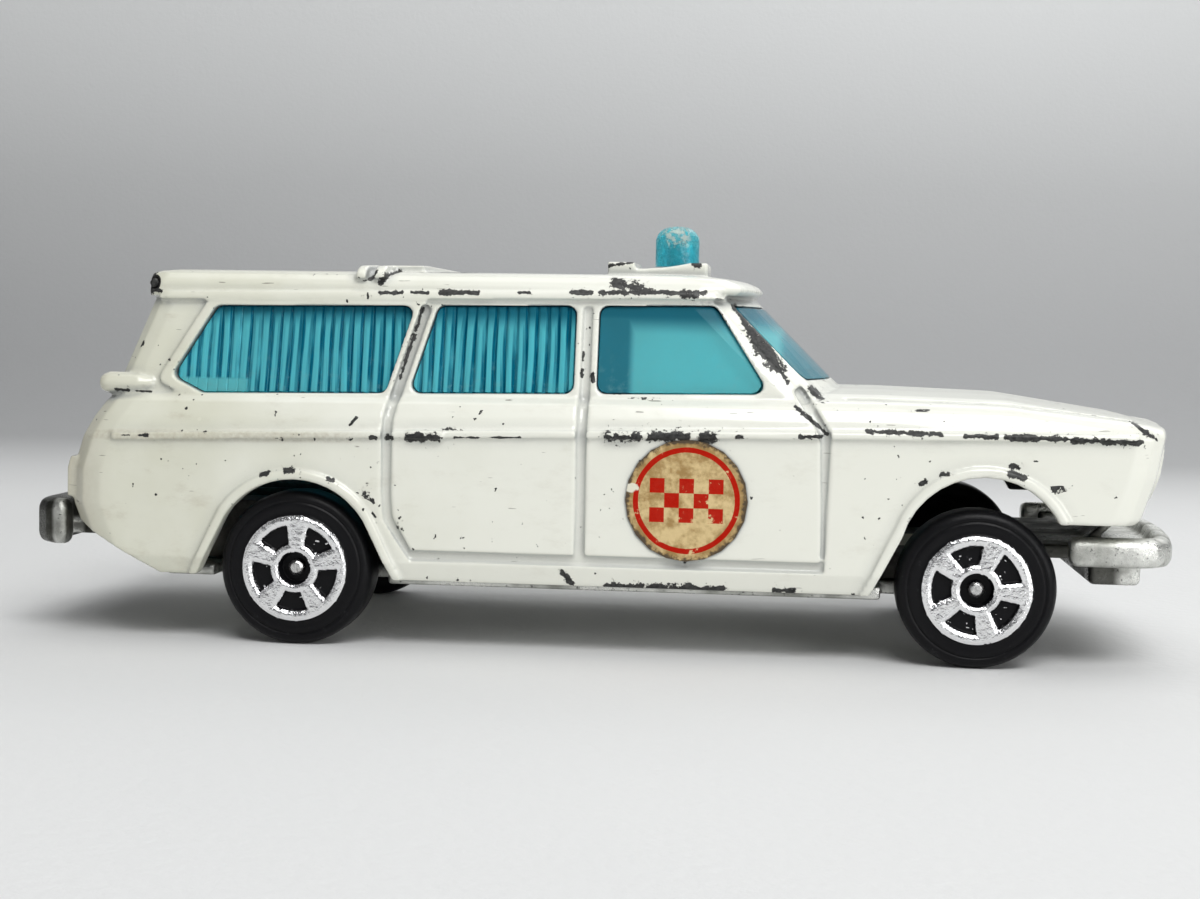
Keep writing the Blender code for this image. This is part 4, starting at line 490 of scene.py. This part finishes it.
def rub(foot, end, *spans):
    """Rubs strokes on the car's right side along a line given by its x and z, seen square from the side.

    A span is where a stroke starts and ends along the line, and its half width.
    """
    line = Vector((end[0] - foot[0], 0.0, end[1] - foot[1])).normalized()
    for first, last, half in spans:
        stretch = line * (last - first)
        place = Vector((foot[0], 0.0, foot[1])) + line * first
        off = enamel.add("ShaderNodeVectorMath", {"operation": "SUBTRACT"}, (side_on, place))
        along = enamel.add("ShaderNodeVectorMath", {"operation": "DOT_PRODUCT"}, (off, stretch), "Value")
        share = enamel.add("ShaderNodeClamp", {}, {"Value": along / stretch.length_squared})
        near = enamel.add("ShaderNodeVectorMath", {"operation": "SCALE"}, {0: stretch, "Scale": share})
        gap = enamel.add("ShaderNodeVectorMath", {"operation": "DISTANCE"}, (off, near), "Value")
        strokes.append(1.0 - gap / half)


def rub_arch(hub, reach, *spans):
    """Rubs strokes round a wheel arch. A span is its first and last angle in degrees, and its half width."""
    for first, last, half in spans:
        turns = radians(first), radians(last)
        ends = [(hub.x + reach * cos(turn), hub.z + reach * sin(turn)) for turn in turns]
        rub(*ends, (0.0, reach * (turns[1] - turns[0]), half))


body_low, body_high = corners("body_shell")
pane_low, pane_high = corners("window_glazing")
label_low, label_high = corners("door_label_right")
plinth = corners("roof_beacon")[0]
lift = next(joint for joint in frame["joints"] if joint["name"] == "tailgate_lift")
hinge = Vector(lift["pos_m"]) / MM
belt_z = label_high.z
screen_head = pane_high.x - 7.3
screen_foot = pane_high.x - 3.5

# Roof: its tail corner, the gutter, the ribs and the beacon's plinth
rub((hinge.x - 0.4, hinge.z + 0.7), (hinge.x - 0.2, hinge.z - 0.5), (0.0, 1.2, 0.3))
rub((hinge.x - 0.2, hinge.z - 0.4), (hinge.x + 0.6, hinge.z - 0.6), (0.0, 0.8, 0.14))
rub((hinge.x, hinge.z - 0.7), (screen_head, hinge.z),
    (15.6, 17.1, 0.13), (17.8, 18.9, 0.1), (19.8, 22.3, 0.17), (25.0, 25.7, 0.1), (28.4, 29.8, 0.16),
    (30.5, 33.7, 0.2), (33.8, 37.3, 0.16))
rub((plinth.x - 1.9, hinge.z + 0.45), (plinth.x + 3.0, hinge.z - 0.2), (0.0, 1.5, 0.33), (4.6, 5.3, 0.26))
rub((hinge.x + 14.9, hinge.z + 0.45), (hinge.x + 15.4, hinge.z + 1.0), (0.0, 0.7, 0.12))
rub((hinge.x + 15.7, hinge.z + 0.3), (hinge.x + 16.4, hinge.z + 1.1), (0.0, 1.05, 0.2))
rub((plinth.x - 3.2, plinth.z - 0.1), (plinth.x - 1.4, plinth.z + 0.2), (0.0, 1.8, 0.12))
rub((plinth.x + 2.9, plinth.z + 0.2), (plinth.x + 3.3, plinth.z + 0.1), (0.0, 0.4, 0.16))

# Pillars: the windscreen's, the one behind the front door, and the one ahead of the quarter window
rub((screen_head, pane_high.z - 1.1), (screen_head + 3.7, pane_low.z + 2.7),
    (0.0, 1.5, 0.16), (2.0, 5.0, 0.48), (2.5, 4.4, 0.55), (4.9, 6.1, 0.16))
rub((pane_high.x - 2.1, pane_low.z + 2.3), (pane_high.x - 1.4, pane_low.z + 1.7), (0.0, 0.9, 0.23))
rub((pane_high.x - 3.1, pane_low.z + 1.2), (pane_high.x - 1.0, pane_low.z - 0.5), (0.0, 2.7, 0.13))
rub((label_low.x - 3.15, pane_low.z + 4.4), (label_low.x - 3.2, pane_low.z + 2.8),
    (0.0, 0.55, 0.1), (1.2, 1.6, 0.1))
rub((label_low.x - 2.45, pane_low.z + 3.0), (label_low.x - 2.45, pane_low.z + 2.5), (0.0, 0.5, 0.13))
rub((rear_hub.x + 7.9, pane_high.z - 1.6), (rear_hub.x + 6.6, pane_low.z + 2.4),
    (0.0, 1.6, 0.09), (1.9, 2.2, 0.14), (2.1, 4.9, 0.1))

# Sides: the belt ridge from door to door, the wing's ridge to the headlamp, the arches and the sill
rub((rear_hub.x + 5.2, belt_z - 0.4), (pane_high.x - 1.4, belt_z + 0.4),
    (0.0, 0.3, 0.16), (1.0, 1.25, 0.18), (2.4, 4.4, 0.3), (5.5, 7.2, 0.07), (7.8, 9.8, 0.07),
    (15.6, 17.4, 0.31), (18.4, 20.5, 0.37), (21.6, 22.3, 0.35), (23.8, 24.1, 0.16), (27.8, 29.2, 0.12))
rub((front_hub.x - 7.2, belt_z + 0.8), (body_high.x - 3.0, belt_z + 0.5),
    (0.0, 4.6, 0.14), (6.1, 8.0, 0.14), (8.6, 12.0, 0.2), (11.9, 17.0, 0.19))
rub((body_high.x - 3.2, belt_z + 1.6), (body_high.x - 2.0, belt_z + 0.7), (0.0, 1.5, 0.15))
rub((hinge.x - 1.9, belt_z + 2.3), (hinge.x + 0.6, belt_z + 2.2), (0.0, 0.9, 0.1), (1.4, 2.4, 0.07))
rub((hinge.x - 0.9, belt_z - 0.65), (hinge.x + 0.8, belt_z - 0.6), (0.0, 0.5, 0.1), (1.2, 1.7, 0.1))
rub((rear_hub.x + 3.7, belt_z + 0.4), (rear_hub.x + 4.1, belt_z + 0.9), (0.0, 0.6, 0.1))
rub_arch(front_hub, 8.3, (74, 77, 0.17))
rub_arch(front_hub, 7.75, (70, 76, 0.19), (106, 109, 0.16), (117, 119, 0.16))
rub_arch(rear_hub, 6.55, (33, 36, 0.1), (66, 69, 0.16), (90, 95, 0.2), (105, 109, 0.16))
rub((label_low.x - 1.1, body_low.z + 0.5), (label_high.x + 3.0, body_low.z + 0.6),
    (0.0, 2.2, 0.22), (2.8, 5.6, 0.26), (5.9, 7.5, 0.2), (10.9, 12.0, 0.2))
rub((label_low.x - 4.0, body_low.z + 1.3), (label_low.x - 3.5, body_low.z + 0.7), (0.0, 0.8, 0.22))

# Chips: the strokes with ragged outlines, knocks on sharp edges, specks, and the bare ends of the hinge pins
PIN_REACH = 0.56
PIN_INNER = 9.8
ragged = enamel.grain(3.4, 6.0, 0.7)
broad = enamel.grain(0.16, 3.0)
sharpness = enamel.add("ShaderNodeNewGeometry", {}, {}, "Pointiness")
ridge = sharpness.between(0.515, 0.56)
stroke = strongest(*strokes)
torn = enamel.grain(1.3, 3.0, 0.6)
near_stroke = stroke.between(-5.0, -0.5)
flecks = (ragged + near_stroke * 0.12).between(0.75, 0.77)
eaten = stroke + (ragged - 0.5) * 3.8 + (torn - 0.5) * 2.4
played = eaten.between(0.0, 0.12).math("MAXIMUM", flecks * near_stroke) * (y < -1.0)
patchy = enamel.grain(0.3, 3.0)
knocked = (ridge * 0.4 + (ragged - 0.5) * 0.9 + (patchy - 0.5) * 1.4).between(0.51, 0.56)
specks = (enamel.grain(2.1, 2.0, 0.5) + (broad - 0.5) * 0.25).between(0.735, 0.755)
to_hinge = enamel.add("ShaderNodeVectorMath", {"operation": "DISTANCE"},
                      (side_on, Vector((hinge.x, 0.0, hinge.z))), "Value")
pin_end = (to_hinge < PIN_REACH) * (abs(y) > PIN_INNER)
chip = strongest(played, knocked, specks, pin_end)

# Enamel: dark bare metal on the hidden inner walls as painted shade, yellowed and soiled to the tail and
# darker there as painted shade, grey painted shade in its creases and grime in the deepest
TAIL_SHADE_FROM = -31.2
NOSE_DEPTH = 4.5
BELT_RISE = 0.015
BELT_FOOT = belt_z - 0.18
BELT_SOIL = -13.0, -18.0
TAIL_DARKEN_FROM = -8.0
TAIL_DARKEN_OVER = 40.0
peel = enamel.grain(1.4, 2.0, 0.4)
facing = enamel.add("ShaderNodeNewGeometry", {}, {}, "Normal")
inward = (y * enamel.add("ShaderNodeSeparateXYZ", {}, (facing,), 1)).between(-1.0, -4.0)
hollow = (x > TAIL_SHADE_FROM) * (x < body_high.x - NOSE_DEPTH) * (z < hinge.z)
# Painted shade: the inward faces of the hollow body are dark bare metal, standing for the shade inside it.
inner_wall_shade = inward * hollow * (1.0 - (x > screen_foot) * (z > belt_z))
crease = enamel.nearness(0.9 * MM)
shaded = crease.between(0.96, 0.66) * 0.85
grime = crease.between(0.7, 0.3) * (0.15 + ragged * 0.7)
scored = enamel.grain(1.0, 2.0, 0.5, enamel.stretched(0.5, 0.5, 5.0)).between(0.735, 0.76)
# Yellowed with age toward the tail, and darker there as painted shade.
darkened = ((TAIL_DARKEN_FROM - x) / TAIL_DARKEN_OVER + (broad - 0.5) * 0.9).between(-0.1, 0.8)
sound = enamel.tint(darkened, (0.84, 0.845, 0.76), (0.67, 0.67, 0.55))
film = enamel.grain(0.45, 6.0, 0.72, enamel.stretched(0.6, 1.0, 1.3)).between(0.52, 0.8)
# Painted shade at the very end of the tail.
tail_shade = x.between(TAIL_SHADE_FROM, body_low.x) * (0.25 + ragged * 0.5)
on_belt = abs(z - x * BELT_RISE - BELT_FOOT).between(0.5, 0.2)
belt_soil = on_belt * x.between(*BELT_SOIL) * (ragged * 1.3 - 0.3)
# A dirty film and soil along the belt, with the painted shade of the tail.
soiled_and_shaded = enamel.tint(strongest(film * (0.15 + darkened * 0.3), tail_shade, belt_soil), sound, (0.42, 0.37, 0.27))
# Painted shade, a cool grey, in the creases and seams.
crease_shaded = enamel.tint(shaded, soiled_and_shaded, (0.33, 0.35, 0.355))
handled = enamel.tint(strongest(grime, scored * 0.7), crease_shaded, (0.16, 0.145, 0.115))
# Chipped enamel shows bare metal; the inner walls carry the same dark metal as painted shade.
bare_and_shaded = strongest(chip, inner_wall_shade)
metal = enamel.tint(ragged.between(0.35, 0.7), (0.022, 0.022, 0.022), (0.075, 0.076, 0.073))
enamel.feed(base_color=enamel.tint(bare_and_shaded, handled, metal),
            metallic=bare_and_shaded * 0.55,
            roughness=0.2 + broad * 0.1 + grime * 0.3 + bare_and_shaded * 0.24,
            coat_weight=(1.0 - bare_and_shaded) * 0.35,
            normal=enamel.relief((1.0 - chip) * 0.8 + peel * 0.2, 0.05 * MM))
coat(nodes["body_shell"], enamel)
round_off(nodes["body_shell"], 0.13 * MM, 3, 0.19)


# Tailgate
# A separate casting in the same enamel closes the tail, and turns on pins cast at the ends of its
# hinge bar. The pins' ends are rubbed through to the metal.

coat(nodes["tailgate"], enamel)
round_off(nodes["tailgate"], 0.13 * MM, 3, 0.6)


# Roof beacon
# A clear blue styrene cap is pressed over a peg of the roof plinth. Old glue has crazed round the peg,
# which makes the core of the cap look like cracked ice.

low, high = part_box("roof_beacon")
middle, radius = (low + high) / 2, (high.x - low.x) / 2
wall, crown = 0.62 * (high.z - low.z), high.z - low.z
peg, bore = 0.78 * MM, 1.75 * MM
profile = [(0.0, bore), (peg * 0.8, bore - 0.05 * MM), (peg, bore - 0.3 * MM), (peg, 0.0), (radius, 0.0)]
for i in range(13):
    turn = i * pi / 24
    profile.append((radius * cos(turn) ** 0.8, wall + (crown - wall) * sin(turn)))
profile[-1] = (0.0, crown)
bm = bmesh.new()
chain = [bm.verts.new((r, 0.0, h)) for r, h in profile]
for a, b in zip(chain, chain[1:]):
    bm.edges.new((a, b))
bmesh.ops.spin(bm, geom=bm.verts[:] + bm.edges[:], axis=(0, 0, 1), cent=(0, 0, 0), angle=2 * pi, steps=64)
bmesh.ops.remove_doubles(bm, verts=bm.verts, dist=0.002 * MM)
bmesh.ops.recalc_face_normals(bm, faces=bm.faces)
bmesh.ops.translate(bm, verts=bm.verts, vec=(middle.x, middle.y, low.z))
mesh = bpy.data.meshes.new("beacon_cap")
bm.to_mesh(mesh)
bm.free()
mesh.shade_smooth()
mesh.set_sharp_from_angle(angle=0.7)
beacon = bpy.data.objects.new("beacon_cap", mesh)
bpy.context.scene.collection.objects.link(beacon)
lamp = Finish("beacon_blue_plastic", {"Transmission Weight": 0.72, "IOR": 1.4, "Specular IOR Level": 0.35})
x, y, z = lamp.axes()
facet = lamp.add("ShaderNodeTexVoronoi", {}, {"Vector": lamp.where(), "Scale": 2.6}, "Distance")
core = abs(x - middle.x / MM).between(1.2, 0.6) * z.between(low.z / MM + 1.0, low.z / MM + 1.7)
crazed = (lamp.grain(1.9, 6.0, 0.72) + core * 0.08).between(0.53, 0.6) * core
lamp.feed(base_color=lamp.tint(crazed * 0.9, (0.08, 0.68, 0.82), (0.9, 0.93, 0.84)),
          roughness=0.05 + facet.between(0.2, 0.6) * 0.12 + crazed * 0.3,
          normal=lamp.relief(facet * 0.6 + crazed * 0.4, 0.08 * MM))
coat(beacon, lamp)
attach(beacon, "car")
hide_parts("roof_beacon")


# Door labels
# A round paper label is stuck on each front door. The paper has browned and frayed at its edge, and is
# printed in red with a thin ring and a plain chequered band.

CHECK = 0.95
RING_REACH = 3.28
RING_HALF = 0.17
FRAYED = 3.62, 3.86
TEAR = 3.6, 0.75
low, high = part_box("door_label_right")
paper = Finish("aged_label_paper", {"Specular IOR Level": 0.06})
x, y, z = paper.axes()
across_x, across_z = x - (low.x + high.x) / 2 / MM, z - (low.z + high.z) / 2 / MM
reach = (across_x * across_x + across_z * across_z).math("SQRT")
fibre = paper.grain(3.0, 5.0, 0.65)
mottle = paper.grain(0.9, 4.0)
checks = paper.add("ShaderNodeTexChecker", {}, {
    "Vector": paper.add("ShaderNodeCombineXYZ", {}, {"X": across_x + CHECK / 2, "Y": CHECK / 2,
                                                     "Z": across_z + CHECK / 2}),
    "Color1": (1.0, 1.0, 1.0), "Color2": (0.0, 0.0, 0.0), "Scale": 1 / CHECK}, "Fac")
band = checks * (abs(across_x) < 2.5 * CHECK) * (abs(across_z) < 1.5 * CHECK)
ring = abs(reach - RING_REACH + (mottle - 0.5) * 0.1) < RING_HALF
ink = strongest(band, ring) * (fibre + mottle).between(0.74, 0.84)
browned = (mottle * 0.6 + fibre * 0.4 + (reach - 2.6).between(0.0, 1.4) * 0.12).between(0.4, 0.66)
sheet = paper.tint(browned, (0.7, 0.54, 0.28), (0.36, 0.23, 0.09))
printed = paper.tint(ink * 0.97, sheet, (0.45, 0.003, 0.0))
frayed = (reach + (fibre - 0.5) * 0.9 + (mottle - 0.5) * 0.5).between(*FRAYED)
tear_x = across_x + TEAR[0] + (fibre - 0.5) * 0.6
tear_z = across_z - TEAR[1] + (mottle - 0.5) * 0.5
tear = (tear_x * tear_x * 0.3 + tear_z * tear_z).math("SQRT").between(0.3, 0.22)
edged = paper.tint(frayed, printed, (0.1, 0.075, 0.05))
paper.feed(base_color=paper.tint(tear, edged, (0.78, 0.75, 0.62)),
           roughness=0.5 + fibre * 0.25,
           normal=paper.relief(fibre, 0.05 * MM))
for name in ("door_label_left", "door_label_right"):
    coat(nodes[name], paper)


# Table and studio
# The toy stands on a pale sheet that sweeps up behind it into a grey backdrop, under one broad lamp
# high in front and one overhead, with weak lamps low at both front corners and behind.

SWEEP_BEND = 0.05
SWEEP_BACK = 0.24
SWEEP_REACH = 0.9
SWEEP_HALF = 1.2
BEND_STEPS = 12
run = [(-SWEEP_REACH, 0.0)]
for i in range(BEND_STEPS + 1):
    turn = i * pi / 2 / BEND_STEPS
    run.append((SWEEP_BACK - SWEEP_BEND + SWEEP_BEND * sin(turn), SWEEP_BEND * (1 - cos(turn))))
run.append((SWEEP_BACK, SWEEP_REACH))
bm = bmesh.new()
rows = [[bm.verts.new((side, y_at, z_at)) for side in (-SWEEP_HALF, SWEEP_HALF)] for y_at, z_at in run]
for near, far in zip(rows, rows[1:]):
    bm.faces.new((near[0], near[1], far[1], far[0]))
mesh = bpy.data.meshes.new("studio_sweep")
bm.to_mesh(mesh)
bm.free()
mesh.shade_smooth()
sweep = bpy.data.objects.new("studio_sweep", mesh)
bpy.context.scene.collection.objects.link(sweep)
card = Finish("pale_card", {"Specular IOR Level": 0.15, "Roughness": 0.8})
x, y, z = card.axes()
fade = (y + z * 0.6).between(60.0, 250.0)
mottle = card.grain(0.02, 3.0)
# The backdrop is darker at its foot and paler higher up, a painted shade.
card.feed(base_color=card.tint(fade, card.tint(mottle, (0.69, 0.695, 0.695), (0.74, 0.745, 0.74)),
                               card.tint(z.between(5.0, 100.0), (0.38, 0.385, 0.39), (0.7, 0.71, 0.71))),
          normal=card.relief(card.grain(1.2, 3.0), 0.05 * MM))
coat(sweep, card)


def soft_lamp(name, place, aim, size, watts):
    data = bpy.data.lights.new(name, "AREA")
    data.shape = "RECTANGLE"
    data.size, data.size_y = size
    data.energy = watts
    lamp_object = bpy.data.objects.new(name, data)
    lamp_object.location = place
    lamp_object.rotation_euler = (Vector(aim) - Vector(place)).to_track_quat("-Z", "Y").to_euler()
    bpy.context.scene.collection.objects.link(lamp_object)


soft_lamp("key_lamp", (0.14, -0.3, 0.42), (0.0, 0.0, 0.01), (0.36, 0.22), 1.86)
soft_lamp("overhead_lamp", (0.0, 0.02, 0.4), (0.0, 0.0, 0.0), (0.34, 0.26), 0.42)
soft_lamp("left_hand_lamp", (-0.46, -0.4, 0.15), (0.0, 0.0, 0.015), (0.3, 0.24), 0.15)
soft_lamp("right_hand_lamp", (0.42, -0.38, 0.15), (0.0, 0.0, 0.015), (0.3, 0.24), 0.85)
soft_lamp("back_lamp", (0.1, 0.17, 0.18), (0.0, 0.0, 0.02), (0.3, 0.12), 0.15)
world = bpy.data.worlds.new("studio_air")
bpy.context.scene.world = world
world.use_nodes = True
air = world.node_tree.nodes["Background"]
air.inputs["Color"].default_value = (0.95, 0.97, 1.0, 1.0)
air.inputs["Strength"].default_value = 0.1

PHOTO_WIDTH = 1200
FOCAL_PIXELS = 1856.32
SENSOR = 36.0
VIEWPOINT = 0.012262, -0.133051, 0.021205
yaw, pitch, roll = 0.0984793, 0.0639996, 0.0197339
ahead = Vector((-sin(yaw) * cos(pitch), cos(yaw) * cos(pitch), -sin(pitch)))
level = Vector((cos(yaw), sin(yaw), 0.0))
upright = level.cross(ahead)
right = level * cos(roll) + upright * sin(roll)
up = upright * cos(roll) - level * sin(roll)
lens = bpy.data.cameras.new("camera")
lens.sensor_fit = "HORIZONTAL"
lens.sensor_width = SENSOR
lens.lens = SENSOR * FOCAL_PIXELS / PHOTO_WIDTH
lens.clip_start = 0.005
lens.clip_end = 5.0
camera = bpy.data.objects.new("camera", lens)
turn = Matrix((right, up, -ahead)).transposed()
camera.matrix_world = Matrix.Translation(VIEWPOINT) @ turn.to_4x4()
bpy.context.scene.collection.objects.link(camera)
bpy.context.scene.camera = camera
bpy.context.scene.view_settings.view_transform = "Standard"
